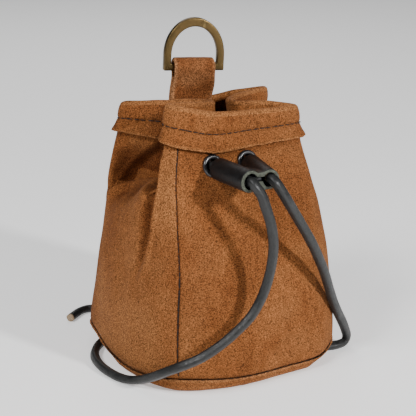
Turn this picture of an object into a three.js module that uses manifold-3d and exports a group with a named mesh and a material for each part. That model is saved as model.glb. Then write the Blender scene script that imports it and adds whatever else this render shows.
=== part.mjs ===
// Medieval style belt pouch in brown suede, standing on its base.
// Millimetres, +Z up, front face towards -Y, origin on the floor under the middle of the base.

import * as THREE from 'three';
import { mergeVertices } from 'three/addons/utils/BufferGeometryUtils.js';
import Module from 'manifold-3d';

const wasm = await Module();
wasm.setup();

// Body
const BODY_WIDTH = 104;
const BODY_DEPTH = 104;
const RIM_HEIGHT = 130;
const SEAM_HEIGHT = 5;

// Leather and clearances
const WALL = 1.8;
const HEM_LEATHER = 1.6;
const HEM_DEPTH = 14.5;
const HEM_FLARE = 1.2;
const GAP = 0.3;
const AROUND = 4;

// Base panel
const BASE_LEATHER = 2;
const EDGE_RADIUS = 5;
const CORD_UNDER = 0.7;

// Ring and belt strap
const RING_WIRE = 3.5;
const RING_INNER_WIDTH = 22.6;
const RING_HEIGHT = 24.9;
const RING_ARM = 5.8;
const BAR_RISE = 16.6;
const STRAP_X = -0.4;
const STRAP_WIDTH = 20.4;
const STRAP_TURN = -14;
const STRAP_TILT = 2.5;
const STRAP_LEAN = 1.8;
const STRAP_LEATHER = 2.1;
const STRAP_FOOT = 16;

// Eyelets, slider and cord
const CORD = 4;
const EYELET_MIDDLE = -9.1;
const EYELET_SPACING = 17.8;
const EYELET_DROP = 27.2;
const EYELET_OUTER = 10.4;
const EYELET_HOLE = CORD + 2.4;
const EYELET_BARREL = EYELET_HOLE + 1.2;
const EYELET_PROUD = 1.1;
const SLIDER_LENGTH = 24;
const SLIDER_STANDOFF = 4.4;
const MOUTH_MIDDLE = -10.2;
const MOUTH_SPACING = 10.4;
const MOUTH_DROP = 0.6;
const SLIDER_OUTER = 10.2;
const SLIDER_CHANNEL = 6.6;

// Outer surface of the wrap. Each section is cut at z percent of RIM_HEIGHT; the columns are
// the places named in PLACES, each as x, y in percent of half of BODY_WIDTH and BODY_DEPTH.
const PLACES = [
  'seam', 'front_left', 'front_right', 'corner_right', 'corner_right_side',
  'gusset_right_front', 'pleat_right_front', 'pleat_right_back', 'gusset_right_back',
  'back_right_side', 'back_right', 'back', 'back_left', 'back_left_side',
  'gusset_left_back', 'pleat_left_back', 'pleat_left_front', 'gusset_left_front', 'fold_left',
];
const SECTIONS = [
  { z: 0, at: [
    [-78, -82.5], [-31, -100], [23, -100], [65.5, -95], [91.5, -72],
    [97, -38.5], [99, -15.5], [99, 15.5], [97, 42.5],
    [89.5, 75], [65.5, 93.5], [0, 98], [-64.5, 94], [-90.5, 77],
    [-98, 46], [-100, 15.5], [-100, -11.5], [-98, -34.5], [-92.5, -60.5]] },
  { z: 11, at: [
    [-80, -82.5], [-31, -101], [23, -101], [65.5, -96], [92.5, -72],
    [99, -38.5], [101, -15.5], [101, 15.5], [99, 42.5],
    [90.5, 75], [65.5, 93.5], [0, 97], [-64.5, 93.5], [-90, 74.5],
    [-97.5, 46], [-100.5, 15.5], [-100.5, -11.5], [-98.5, -34.5], [-93, -60.5]] },
  { z: 26, at: [
    [-77, -78], [-29, -96], [23, -97], [62.5, -92.5], [89.5, -71],
    [98, -38.5], [100, -15.5], [100, 15.5], [98, 40.5],
    [89.5, 70], [63.5, 88.5], [0, 92.5], [-63.5, 88.5], [-86, 67],
    [-97, 42.5], [-100, 15.5], [-100, -11.5], [-98, -32.5], [-91.5, -57.5]] },
  { z: 43, at: [
    [-74, -76], [-29, -89.5], [21, -91.5], [59.5, -86.5], [85.5, -68.5],
    [94, -38.5], [97, -15.5], [97, 11.5], [95, 34.5],
    [86.5, 59.5], [63.5, 79], [0, 82.5], [-63.5, 79], [-84, 57.5],
    [-95, 36.5], [-97, 13.5], [-96, -11.5], [-95, -31], [-89.5, -52]] },
  { z: 60, at: [
    [-73, -71], [-31, -79], [17.5, -81], [54, -78], [76, -65.5],
    [85.5, -42.5], [88.5, -19], [88.5, 4], [86.5, 25],
    [81.5, 49.5], [63.5, 67.5], [0, 71], [-63.5, 67.5], [-81.5, 50],
    [-84, 29], [-88.5, 6], [-91.5, -15.5], [-92.5, -32.5], [-86.5, -52]] },
  { z: 67, at: [
    [-71.5, -67.5], [-31.5, -74], [14.5, -75.5], [52, -73.5], [71.5, -63],
    [77, -42.5], [74, -22], [71, -1], [72, 21],
    [78.5, 44], [63.5, 61.5], [0, 65.5], [-63.5, 61.5], [-81.5, 46],
    [-67.5, 25], [-68.5, 3], [-81, -17.5], [-88.5, -33.5], [-83.5, -51.5]] },
  { z: 74, at: [
    [-70, -63.5], [-32.5, -68.5], [11.5, -70], [50, -69], [67.5, -60.5],
    [61.5, -42.5], [44, -28], [42.5, -9.5], [57.5, 15.5],
    [75.5, 37.5], [63.5, 56], [0, 59.5], [-63.5, 56], [-80, 41.5],
    [-59.5, 18.5], [-43.5, -5], [-50, -24], [-75, -37.5], [-80, -50.5]] },
  { z: 86, at: [
    [-64.5, -57.5], [-32.5, -60], [7.5, -61], [46, -62], [60.5, -56],
    [46, -40], [16.5, -33.5], [16.5, -17.5], [42.5, 4],
    [75.5, 28.5], [67.5, 44], [0, 44.5], [-63.5, 44], [-76, 33.5],
    [-48, 5], [-22, -17.5], [-22, -33.5], [-50, -39], [-73, -47]] },
  { z: 100, at: [
    [-56.5, -49], [-29, -52.5], [7.5, -53], [42.5, -55], [57.5, -49.5],
    [38.5, -36], [9.5, -32.5], [9.5, -17], [36.5, 3],
    [74.5, 24.5], [67.5, 36.5], [0, 31], [-54, 35.5], [-70, 28],
    [-42.5, 3], [-16.5, -17], [-16.5, -32.5], [-40.5, -35.5], [-63.5, -39]] },
];

// Height of the rim at each place in percent of RIM_HEIGHT, and of the seam to the base
// panel in percent of SEAM_HEIGHT.
const RIM_SHARE = [
  100, 97.3, 96.3, 96.2, 95.8,
  96.9, 97.7, 97.7, 97.3,
  96.5, 95.4, 93.8, 94.6, 96.5,
  97.7, 98.5, 98.8, 99.6, 100.4,
];
const SEAM_SHARE = [
  140, 112, 104, 112, 168,
  112, 100, 100, 100,
  100, 100, 100, 168, 184,
  160, 92, 68, 72, 108,
];
// Depth of the folded hem at each place in percent of HEM_DEPTH.
const HEM_SHARE = [
  118, 122, 107, 102, 100,
  105, 110, 112, 120,
  100, 100, 105, 100, 98,
  122, 115, 112, 108, 110,
];
const RIM = RIM_SHARE.map((share) => (share / 100) * RIM_HEIGHT);
const SEAM_Z = SEAM_SHARE.map((share) => (share / 100) * SEAM_HEIGHT);

// The base lifts off the floor where a cord is tucked under its rounded edge.
// Its middle is at x, y percent of the half sizes; it rises between from and to, in percent
// of half of BODY_WIDTH along the way turned by heading degrees from +X.
const LIFTS = [
  { x: -40, y: 48, heading: 143, from: 13.5, to: 34.5 },
  { x: 40, y: -42, heading: -26, from: 29, to: 50 },
];

// Free cord ends, x, y, z of the middle of the cord. The left one crosses the front, turns
// round the left side on the floor, dips under the back left edge and comes out again.
const LEFT_CORD = [
  [-14.6, -65, 100.4], [-12.2, -66, 96.6], [-10.2, -66, 91.3], [-8, -66, 85.3], [-6.4, -66, 79],
  [-5.4, -65.5, 73], [-5, -64.5, 67], [-5.8, -62.8, 57], [-8.2, -61.2, 47.5], [-13.2, -60.2, 38.9],
  [-20.8, -59.4, 32.3], [-29, -58, 26.5], [-37, -56, 22], [-43.5, -52, 18.4], [-48.6, -45.5, 14],
  [-51.8, -36.5, 8.4], [-54.2, -27.5, 4], [-57.4, -19, 2.1], [-59.8, -9.5, 2], [-60, 2, 2],
  [-57.4, 12.6, 2], [-52.6, 20.4, 2], [-47, 26, 2], [-41.5, 32, 2], [-37, 40, 2],
  [-33, 49.5, 2], [-29.8, 59, 2], [-30, 66.5, 2], [-34.4, 69.8, 2], [-39.4, 69, 2],
  [-43.6, 66.2, 2], [-48.4, 62.3, 2],
];
const RIGHT_CORD = [
  [-4.6, -65, 101.2], [-2.4, -66, 97.6], [1, -66, 92.4], [5.2, -64.5, 86.8], [9.8, -63, 80.6],
  [14.6, -61.5, 74], [19.4, -60, 67], [24, -58, 59.8], [28.4, -56, 52.6], [32.4, -53.6, 45.6],
  [37.4, -50.2, 36.6], [43.8, -46, 26.4], [50.6, -41.4, 17.6], [55.6, -38, 10.4], [58.2, -36, 5.2],
  [57.4, -35.6, 2.6], [53.6, -36.3, 2.1], [49.4, -36.2, 2.1], [45.4, -35, 2.1],
];
const HELD_CORD_BACK = [
  [-15.4, -25.5, 101.6], [-10.4, -17, 100.4], [-9, -6, 99], [-12, 6, 97.6], [-14.6, 15, 96.6], [-9, 22.4, 96],
  [2, 24.2, 96], [12.4, 20.6, 96.6], [14.6, 9, 98], [10, -6, 100], [4.6, -19, 101.4],
];

const smooth = (a, b, v) => {
  const t = Math.min(1, Math.max(0, (v - a) / (b - a)));
  return t * t * (3 - 2 * t);
};

// How far the underside stands off the floor at a place.
function liftAt(x, y) {
  let lift = 0;
  for (const l of LIFTS) {
    const heading = (l.heading * Math.PI) / 180;
    const along = (x - (l.x / 200) * BODY_WIDTH) * Math.cos(heading)
      + (y - (l.y / 200) * BODY_DEPTH) * Math.sin(heading);
    lift = Math.max(lift, (CORD + CORD_UNDER) * smooth((l.from / 200) * BODY_WIDTH, (l.to / 200) * BODY_WIDTH, along));
  }
  return lift;
}

const CUTS = SECTIONS.map(({ z, at }) => ({
  z: (z / 100) * RIM_HEIGHT,
  at: at.map(([x, y]) => [(x / 200) * BODY_WIDTH, (y / 200) * BODY_DEPTH]),
}));

// Place i of the outer surface at height z, smoothly between the sections.
function placeAt(i, z) {
  const last = CUTS.length - 1;
  let k = 0;
  while (k < last - 1 && CUTS[k + 1].z < z) k += 1;
  const at = (n) => CUTS[Math.min(last, Math.max(0, n))];
  const a = at(k);
  const b = at(k + 1);
  const h = b.z - a.z;
  const t = (z - a.z) / h;
  const out = [0, 0];
  for (const c of [0, 1]) {
    const before = at(k - 1);
    const after = at(k + 2);
    const slopeA = before === a ? (b.at[i][c] - a.at[i][c]) / h
      : (b.at[i][c] - before.at[i][c]) / (b.z - before.z);
    const slopeB = after === b ? (b.at[i][c] - a.at[i][c]) / h
      : (after.at[i][c] - a.at[i][c]) / (after.z - a.z);
    const t2 = t * t;
    const t3 = t2 * t;
    out[c] = (2 * t3 - 3 * t2 + 1) * a.at[i][c] + (t3 - 2 * t2 + t) * h * slopeA
      + (3 * t2 - 2 * t3) * b.at[i][c] + (t3 - t2) * h * slopeB;
  }
  return out;
}

// One loop round the wrap: heights holds the height of each place.
function loopAt(heights) {
  const points = PLACES.map((name, i) => {
    const [x, y] = placeAt(i, heights[i]);
    return new THREE.Vector3(x, y, heights[i]);
  });
  const curve = new THREE.CatmullRomCurve3(points, true, 'centripetal');
  const ring = [];
  const count = PLACES.length * AROUND;
  for (let i = 0; i < count; i += 1) ring.push(curve.getPoint(i / count));
  return ring;
}

// Outward direction in plan at every point of a loop that runs anticlockwise.
function outward(ring) {
  const n = ring.length;
  return ring.map((p, i) => {
    const a = ring[(i + n - 1) % n];
    const b = ring[(i + 1) % n];
    return new THREE.Vector3(b.y - a.y, a.x - b.x, 0).normalize();
  });
}

function shifted(ring, distance, rise = 0) {
  const out = outward(ring);
  return ring.map((p, i) => p.clone().addScaledVector(out[i], distance).add(new THREE.Vector3(0, 0, rise)));
}

// Rows of equal rings become a skin; the last row joins the first when tube is true,
// else both ends are closed to a middle point.
function skin(rows, tube) {
  const n = rows[0].length;
  const positions = [];
  const index = [];
  for (const row of rows) for (const p of row) positions.push(p.x, p.y, p.z);
  const last = tube ? rows.length : rows.length - 1;
  for (let r = 0; r < last; r += 1) {
    const a = r * n;
    const b = ((r + 1) % rows.length) * n;
    for (let i = 0; i < n; i += 1) {
      const j = (i + 1) % n;
      index.push(a + i, a + j, b + j, a + i, b + j, b + i);
    }
  }
  if (!tube) {
    const middle = (row) => {
      const m = row.reduce((s, p) => s.add(p), new THREE.Vector3()).divideScalar(n);
      positions.push(m.x, m.y, m.z);
      return positions.length / 3 - 1;
    };
    const first = middle(rows[0]);
    const end = middle(rows[rows.length - 1]);
    const b = (rows.length - 1) * n;
    for (let i = 0; i < n; i += 1) {
      const j = (i + 1) % n;
      index.push(first, j, i);
      index.push(end, b + i, b + j);
    }
  }
  const geometry = new THREE.BufferGeometry();
  geometry.setAttribute('position', new THREE.Float32BufferAttribute(positions, 3));
  geometry.setIndex(index);
  return geometry;
}

function solid(geometry) {
  const bare = new THREE.BufferGeometry();
  bare.setAttribute('position', geometry.getAttribute('position').clone());
  if (geometry.index) bare.setIndex(geometry.index.clone());
  const merged = mergeVertices(bare, 1e-4);
  return new wasm.Manifold(new wasm.Mesh({
    numProp: 3,
    vertProperties: new Float32Array(merged.getAttribute('position').array),
    triVerts: new Uint32Array(merged.index.array),
  }));
}

function fromSolid(body) {
  const mesh = body.getMesh();
  const geometry = new THREE.BufferGeometry();
  geometry.setAttribute('position', new THREE.Float32BufferAttribute(new Float32Array(mesh.vertProperties), 3));
  geometry.setIndex(Array.from(mesh.triVerts));
  return geometry;
}

// The bar of the ring stands over the back of the rim; the strap lies inside the back wall.
const BACK_RIM = RIM[11];
const STRAP_HALF = STRAP_LEATHER + 0.1;
const BAR_Y = placeAt(11, BACK_RIM)[1] - WALL - GAP - STRAP_HALF;
const BAR_Z = BACK_RIM + BAR_RISE;

// A round bar from one point to another.
function bar(from, to, radius, sides) {
  const a = new THREE.Vector3(...from);
  const b = new THREE.Vector3(...to);
  const way = b.clone().sub(a);
  const geometry = new THREE.CylinderGeometry(radius, radius, way.length(), sides);
  geometry.applyQuaternion(new THREE.Quaternion().setFromUnitVectors(
    new THREE.Vector3(0, 1, 0), way.clone().normalize()));
  geometry.translate(...a.add(b).multiplyScalar(0.5).toArray());
  return geometry;
}

// Cord of round section along a list of points.
function cord(points, diameter, sides, steps) {
  const path = new THREE.CatmullRomCurve3(points.map((p) => new THREE.Vector3(...p)), false, 'centripetal');
  const section = new THREE.Shape();
  for (let i = 0; i < sides; i += 1) {
    const a = (i / sides) * Math.PI * 2;
    const x = Math.cos(a) * diameter * 0.5;
    const y = Math.sin(a) * diameter * 0.5;
    if (i === 0) section.moveTo(x, y);
    else section.lineTo(x, y);
  }
  section.closePath();
  return new THREE.ExtrudeGeometry(section, { steps, extrudePath: path, bevelEnabled: false });
}

const EYELET_X = [EYELET_MIDDLE - EYELET_SPACING / 2, EYELET_MIDDLE + EYELET_SPACING / 2];
const EYELET_Z = RIM_HEIGHT - EYELET_DROP;

// The wrap: one wall from the base seam to the rim, with the top edge folded out and down.
function bodyWrap() {
  const below = (depth) => loopAt(RIM.map((z, i) => z - (depth > 3 ? (depth * HEM_SHARE[i]) / 100 : depth)));
  const between = (t) => loopAt(RIM.map((z, i) => {
    const bottom = SEAM_Z[i] + GAP;
    return bottom + (z - (HEM_DEPTH * HEM_SHARE[i]) / 100 - bottom) * t;
  }));
  const rows = [];
  const lower = [0, 0.07, 0.16, 0.27, 0.38, 0.49, 0.6, 0.7, 0.79, 0.87, 0.94];
  for (const t of lower) rows.push(between(t));
  // Underside of the hem's raw edge, its fuzzy lip, then its outer face up to the rim
  const hem = HEM_LEATHER;
  rows.push(below(HEM_DEPTH - 2.2));
  rows.push(shifted(below(HEM_DEPTH), HEM_FLARE * 0.7));
  rows.push(shifted(below(HEM_DEPTH), HEM_FLARE + hem, 0.3));
  rows.push(shifted(below(HEM_DEPTH - 3.5), hem + 0.5, 0));
  rows.push(shifted(below(7), hem));
  rows.push(shifted(below(2.2), hem));
  rows.push(shifted(below(0.6), hem * 0.7));
  rows.push(shifted(below(0), 0.1));
  rows.push(shifted(below(0.5), -WALL * 0.7));
  rows.push(shifted(below(1.8), -WALL));
  rows.push(shifted(below(7), -WALL));
  rows.push(shifted(below(HEM_DEPTH), -WALL));
  for (const t of [0.88, 0.76, 0.62, 0.46, 0.3, 0.14, 0]) rows.push(shifted(between(t), -WALL));
  let body = solid(skin(rows, true));
  for (const [i, x] of EYELET_X.entries()) {
    const seat = eyeletSeat(x);
    const away = seat.normal.clone().multiplyScalar(8);
    const hole = solid(bar(seat.point.clone().add(away).toArray(), seat.point.clone().sub(away).toArray(),
      EYELET_BARREL / 2 + GAP, 20));
    body = body.subtract(hole);
  }
  return fromSolid(body);
}

// Point and direction of the front face where an eyelet sits.
function eyeletSeat(x) {
  const faceY = (z) => {
    const t = (x - placeAt(1, z)[0]) / (placeAt(2, z)[0] - placeAt(1, z)[0]);
    const ring = loopAt(RIM.map(() => z));
    const at = ring[Math.round((1 + t) * AROUND)];
    return at.y;
  };
  const low = faceY(EYELET_Z - 4);
  const high = faceY(EYELET_Z + 4);
  const normal = new THREE.Vector3(0, -8, high - low).normalize();
  return { point: new THREE.Vector3(x, (low + high) / 2, EYELET_Z), normal };
}

const SEATS = EYELET_X.map((x) => eyeletSeat(x));
const SLIDER_BACK_Y = (SEATS[0].point.y + SEATS[1].point.y) / 2 - SLIDER_STANDOFF;
const MOUTH_Y = SLIDER_BACK_Y - SLIDER_LENGTH;
const MOUTH_Z = EYELET_Z - MOUTH_DROP;
const MOUTH_X = [MOUTH_MIDDLE - MOUTH_SPACING / 2, MOUTH_MIDDLE + MOUTH_SPACING / 2];

// The base panel: a shallow dish whose rounded edge turns up to the seam.
function basePanel() {
  const edge = loopAt(SEAM_Z).filter((p, i) => i % 2 === 0 || PLACES.length * AROUND % 2 === 1);
  const out = outward(edge);
  const middle = new THREE.Vector3(0, 0, 0);
  const ringAt = (inset, part) => edge.map((p, i) => {
    const q = p.clone().addScaledVector(out[i], -inset);
    const floor = liftAt(q.x, q.y);
    q.z = floor + (p.z - liftAt(p.x, p.y)) * part;
    return q;
  });
  const shrunk = (ring, share, height) => ring.map((p) => {
    const q = new THREE.Vector3().lerpVectors(middle, p, share);
    q.z = liftAt(q.x, q.y) + height;
    return q;
  });
  const under = ringAt(EDGE_RADIUS, 0);
  const inside = ringAt(EDGE_RADIUS + BASE_LEATHER, 0);
  const rows = [];
  for (const share of [0.15, 0.45, 0.7, 0.86]) rows.push(shrunk(under, share, 0));
  rows.push(under);
  rows.push(ringAt(EDGE_RADIUS * 0.45, 0.12));
  rows.push(ringAt(EDGE_RADIUS * 0.12, 0.45));
  rows.push(ringAt(0, 1));
  rows.push(ringAt(WALL, 1));
  rows.push(ringAt(WALL + 0.9, 0.75));
  rows.push(shrunk(inside, 1, BASE_LEATHER));
  for (const share of [0.85, 0.65, 0.4, 0.12]) rows.push(shrunk(inside, share, BASE_LEATHER));
  return skin(rows, false);
}

// Ring seen from the front: a straight bar below, two arms and a rounded top.
function dRing() {
  const wire = RING_WIRE / 2;
  const half = RING_INNER_WIDTH / 2 + wire;
  const top = RING_HEIGHT - RING_WIRE;
  const path = [];
  const corner = 2.2;
  for (let i = 0; i <= 5; i += 1) {
    const x = -half + corner + ((half - corner) * 2 * i) / 5;
    path.push([x, 0]);
  }
  for (const a of [-60, -30, 0]) {
    const r = (a * Math.PI) / 180;
    path.push([half - corner + Math.cos(r) * corner, corner + Math.sin(r) * corner]);
  }
  for (let i = 0; i <= 18; i += 1) {
    const a = (i / 18) * Math.PI;
    path.push([Math.cos(a) * half, RING_ARM + Math.sin(a) * (top - RING_ARM)]);
  }
  for (const a of [180, 210, 240]) {
    const r = (a * Math.PI) / 180;
    path.push([-half + corner + Math.cos(r) * corner, corner + Math.sin(r) * corner]);
  }
  const n = path.length;
  const rows = path.map((p, i) => {
    const a = path[(i + n - 1) % n];
    const b = path[(i + 1) % n];
    const way = new THREE.Vector2(b[0] - a[0], b[1] - a[1]).normalize();
    const row = [];
    for (let s = 0; s < 12; s += 1) {
      const turn = (s / 12) * Math.PI * 2;
      const reach = wire / (Math.cos(turn) ** 4 + Math.sin(turn) ** 4) ** 0.25;
      const side = Math.cos(turn) * reach;
      row.push(new THREE.Vector3(p[0] + way.y * side, Math.sin(turn) * reach, p[1] - way.x * side));
    }
    return row;
  });
  const geometry = skin(rows, true);
  geometry.rotateY((STRAP_TILT * Math.PI) / 180);
  geometry.rotateZ((STRAP_TURN * Math.PI) / 180);
  geometry.translate(STRAP_X, BAR_Y, BAR_Z);
  return geometry;
}

// Strap: two layers that wrap the bar and run down inside the back of the mouth.
function beltStrap() {
  const hole = RING_WIRE / 2 + 0.65;
  const eye = hole + STRAP_LEATHER;
  const half = STRAP_HALF;
  const top = BAR_Z - eye - 0.6;
  const foot = BACK_RIM - STRAP_FOOT;
  const drop = [0, 0.12, 0.23, 0.34, 0.48, 0.62, 0.76, 0.88, 1].map((t) => top + (foot - top) * t);
  const wallY = (z) => placeAt(11, z)[1] - WALL - GAP;
  const backY = (z) => Math.max(BAR_Y + half, Math.min(wallY(z), BAR_Y + half + (BACK_RIM + 1 - z) * 0.55));
  const shape = new THREE.Shape();
  const neck = Math.asin(half / eye);
  const steps = 18;
  for (let i = 0; i <= steps; i += 1) {
    const a = -Math.PI / 2 + neck + ((Math.PI * 2 - 2 * neck) * i) / steps;
    const y = BAR_Y + Math.cos(a) * eye;
    const z = BAR_Z + Math.sin(a) * eye;
    if (i === 0) shape.moveTo(y, z);
    else shape.lineTo(y, z);
  }
  for (const z of drop) shape.lineTo(backY(z) - half * 2, z);
  for (const z of [...drop].reverse()) shape.lineTo(backY(z), z);
  shape.closePath();
  const inner = new THREE.Path();
  for (let i = 0; i <= 14; i += 1) {
    const a = -(i / 15) * Math.PI * 2;
    const y = BAR_Y + Math.cos(a) * hole;
    const z = BAR_Z + Math.sin(a) * hole;
    if (i === 0) inner.moveTo(y, z);
    else inner.lineTo(y, z);
  }
  inner.closePath();
  shape.holes.push(inner);
  const geometry = new THREE.ExtrudeGeometry(shape, { depth: STRAP_WIDTH, bevelEnabled: false, steps: 1 });
  // The drawn plane holds Y and Z; the depth becomes X.
  const turn = new THREE.Matrix4().set(
    0, 0, 1, STRAP_X - STRAP_WIDTH / 2,
    1, 0, 0, 0,
    0, 1, 0, 0,
    0, 0, 0, 1);
  geometry.applyMatrix4(turn);
  // Above the rim the strap turns to the left, its right end drops and its foot leans left
  const at = geometry.getAttribute('position');
  for (let i = 0; i < at.count; i += 1) {
    const up = smooth(BACK_RIM, BAR_Z - eye, at.getZ(i));
    const angle = ((STRAP_TURN * Math.PI) / 180) * up;
    const x = at.getX(i) - STRAP_X;
    const y = at.getY(i) - BAR_Y;
    at.setX(i, STRAP_X - STRAP_LEAN * (1 - up) + x * Math.cos(angle) - y * Math.sin(angle));
    at.setY(i, BAR_Y + x * Math.sin(angle) + y * Math.cos(angle));
    at.setZ(i, at.getZ(i) - x * Math.tan((STRAP_TILT * Math.PI) / 180) * up);
  }
  return geometry;
}

// Eyelet: rolled flange in front, barrel through the wall, small washer behind.
function eyelet(x) {
  const seat = eyeletSeat(x);
  const hole = EYELET_HOLE / 2;
  const barrel = EYELET_BARREL / 2;
  const outer = EYELET_OUTER / 2;
  const back = -WALL - GAP * 2 - 0.5;
  const profile = [
    [hole, back - 0.5], [barrel + 0.9, back - 0.5], [barrel + 0.9, back], [barrel, back],
    [barrel, GAP + 0.35], [outer, GAP + 0.35], [outer, GAP + 0.9],
    [outer - 1.2, GAP + 0.35 + EYELET_PROUD], [hole + 0.5, GAP + 0.35 + EYELET_PROUD],
    [hole, GAP + 0.9], [hole, back - 0.5],
  ].map(([r, y]) => new THREE.Vector2(r, y));
  const geometry = new THREE.LatheGeometry(profile, 24);
  geometry.applyQuaternion(new THREE.Quaternion().setFromUnitVectors(new THREE.Vector3(0, 1, 0), seat.normal));
  geometry.translate(seat.point.x, seat.point.y, seat.point.z);
  return geometry;
}

const channelEnds = (i) => {
  const mouth = new THREE.Vector3(MOUTH_X[i], MOUTH_Y, MOUTH_Z);
  const seat = eyeletSeat(EYELET_X[i]).point;
  const way = seat.clone().sub(mouth);
  const back = mouth.clone().addScaledVector(way, (SLIDER_BACK_Y - MOUTH_Y) / way.y);
  return { mouth, back, seat };
};

// Slider: two leather channels side by side that draw together towards the mouth.
function cordSlider() {
  const tubes = [0, 1].map((i) => {
    const { mouth, back } = channelEnds(i);
    return { mouth, back };
  });
  const sides = 24;
  let body = solid(bar(tubes[0].back.toArray(), tubes[0].mouth.toArray(), SLIDER_OUTER / 2, sides));
  body = body.add(solid(bar(tubes[1].back.toArray(), tubes[1].mouth.toArray(), SLIDER_OUTER / 2, sides)));
  // The web of leather folded between the channels, low and thin
  const thick = 3.4;
  const low = MOUTH_Z - 2.6;
  const front = MOUTH_Y + 0.4;
  const rear = SLIDER_BACK_Y - 5;
  const corners = (y) => {
    const t = (y - MOUTH_Y) / (SLIDER_BACK_Y - MOUTH_Y);
    const xs = tubes.map(({ mouth, back }) => mouth.x + (back.x - mouth.x) * t);
    return [
      new THREE.Vector3(xs[0], y, low - thick / 2), new THREE.Vector3(xs[0], y, low + thick / 2),
      new THREE.Vector3(xs[1], y, low + thick / 2), new THREE.Vector3(xs[1], y, low - thick / 2),
    ];
  };
  body = body.add(solid(skin([corners(front), corners(rear)], false)));
  for (const { mouth, back } of tubes) {
    const way = mouth.clone().sub(back).normalize().multiplyScalar(3);
    const a = back.clone().sub(way);
    const b = mouth.clone().add(way);
    body = body.subtract(solid(bar(a.toArray(), b.toArray(), SLIDER_CHANNEL / 2, sides)));
  }
  return fromSolid(body);
}

function heldCord() {
  const start = [0, 1].map((i) => {
    const { mouth, seat } = channelEnds(i);
    const { normal } = eyeletSeat(EYELET_X[i]);
    const way = seat.clone().sub(mouth).normalize();
    const on = (distance) => mouth.clone().addScaledVector(way, distance);
    return [on(1.5), on(12), on(seat.distanceTo(mouth) - 7),
      seat.clone().addScaledVector(normal, 2.2), seat.clone().addScaledVector(normal, -3.2)];
  });
  const points = [
    ...start[0].map((p) => p.toArray()), ...HELD_CORD_BACK, ...start[1].reverse().map((p) => p.toArray()),
  ];
  return cord(points, CORD, 8, 60);
}

// A free end starts inside the channel, a small gap after the held part.
function freeCord(i, points, steps) {
  const { mouth, seat } = channelEnds(i);
  const way = seat.clone().sub(mouth).normalize();
  const start = mouth.clone().addScaledVector(way, 1.5 - GAP);
  const lead = mouth.clone().addScaledVector(way, -1.2);
  return cord([start.toArray(), lead.toArray(), ...points], CORD, 8, steps);
}

const LOOKS = {
  suede: { color: 0x7a5233, roughness: 0.95, metalness: 0 },
  base: { color: 0x6b452a, roughness: 0.95, metalness: 0 },
  strap: { color: 0x70492c, roughness: 0.9, metalness: 0 },
  brass: { color: 0x8a7446, roughness: 0.4, metalness: 1 },
  black: { color: 0x151515, roughness: 0.4, metalness: 0.2 },
  slider: { color: 0x1c1a18, roughness: 0.5, metalness: 0 },
  cord: { color: 0x2a2826, roughness: 0.8, metalness: 0 },
};

const pouch = new THREE.Group();
pouch.name = 'belt_pouch';

function add(name, geometry, look) {
  const plain = mergeVertices(new THREE.BufferGeometry()
    .setAttribute('position', geometry.getAttribute('position'))
    .setIndex(geometry.index), 1e-4);
  plain.computeVertexNormals();
  const mesh = new THREE.Mesh(plain, new THREE.MeshStandardMaterial({ name: `${name}_look`, ...LOOKS[look] }));
  mesh.name = name;
  pouch.add(mesh);
}

add('body_wrap', bodyWrap(), 'suede');
add('base_panel', basePanel(), 'base');
add('belt_strap', beltStrap(), 'strap');
add('d_ring', dRing(), 'brass');
add('eyelet_left', eyelet(EYELET_X[0]), 'black');
add('eyelet_right', eyelet(EYELET_X[1]), 'black');
add('cord_slider', cordSlider(), 'slider');
add('drawcord_held', heldCord(), 'cord');
add('drawcord_left', freeCord(0, LEFT_CORD, 60), 'cord');
add('drawcord_right', freeCord(1, RIGHT_CORD, 38), 'cord');

export default pouch;
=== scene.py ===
"""Looks of the medieval belt pouch: suede wrap and base, drawcord, slider, strap and ring."""
import math

import bmesh
import bpy
import numpy as np
from mathutils import Matrix, Vector


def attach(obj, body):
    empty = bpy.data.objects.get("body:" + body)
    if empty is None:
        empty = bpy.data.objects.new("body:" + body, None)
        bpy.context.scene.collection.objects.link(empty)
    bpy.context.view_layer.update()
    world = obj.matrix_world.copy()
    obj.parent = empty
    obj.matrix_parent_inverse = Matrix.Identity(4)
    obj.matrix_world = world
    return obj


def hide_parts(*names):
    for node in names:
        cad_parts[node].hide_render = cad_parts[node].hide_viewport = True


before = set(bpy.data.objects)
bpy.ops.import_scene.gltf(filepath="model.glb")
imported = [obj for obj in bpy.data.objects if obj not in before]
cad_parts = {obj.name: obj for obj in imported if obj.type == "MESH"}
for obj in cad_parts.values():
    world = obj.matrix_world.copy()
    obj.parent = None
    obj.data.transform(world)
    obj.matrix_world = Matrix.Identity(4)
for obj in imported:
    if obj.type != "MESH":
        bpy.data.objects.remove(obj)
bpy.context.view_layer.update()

MM = 0.001

# Sizes in millimetres, as in the part's source.
BODY_WIDTH, BODY_DEPTH, RIM_HEIGHT, SEAM_HEIGHT = 104, 104, 130, 5
WALL, HEM_LEATHER, HEM_DEPTH, HEM_FLARE, GAP = 1.8, 1.6, 14.5, 1.2, 0.3
BASE_LEATHER, EDGE_RADIUS, CORD_UNDER = 2, 5, 0.7
RING_WIRE, RING_INNER_WIDTH, RING_HEIGHT, RING_ARM, BAR_RISE = 3.5, 22.6, 24.9, 5.8, 16.6
STRAP_X, STRAP_WIDTH, STRAP_TURN, STRAP_TILT, STRAP_LEAN = -0.4, 20.4, -14, 2.5, 1.8
STRAP_LEATHER, STRAP_FOOT = 2.1, 16
CORD = 4
LACE_SIDES, LACE_SQUARENESS = 24, 3.6      # 2 would be round
EYELET_OUTER, EYELET_HOLE, EYELET_PROUD = 10.4, CORD + 2.4, 1.1
EYELET_BARREL = EYELET_HOLE + 1.2
SLIDER_OUTER, SLIDER_CHANNEL = 10.2, 6.6
SLIDER_LOW, SLOT_DEPTH, SLOT_RADIUS = 2.9, 1.2, 1.55
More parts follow.
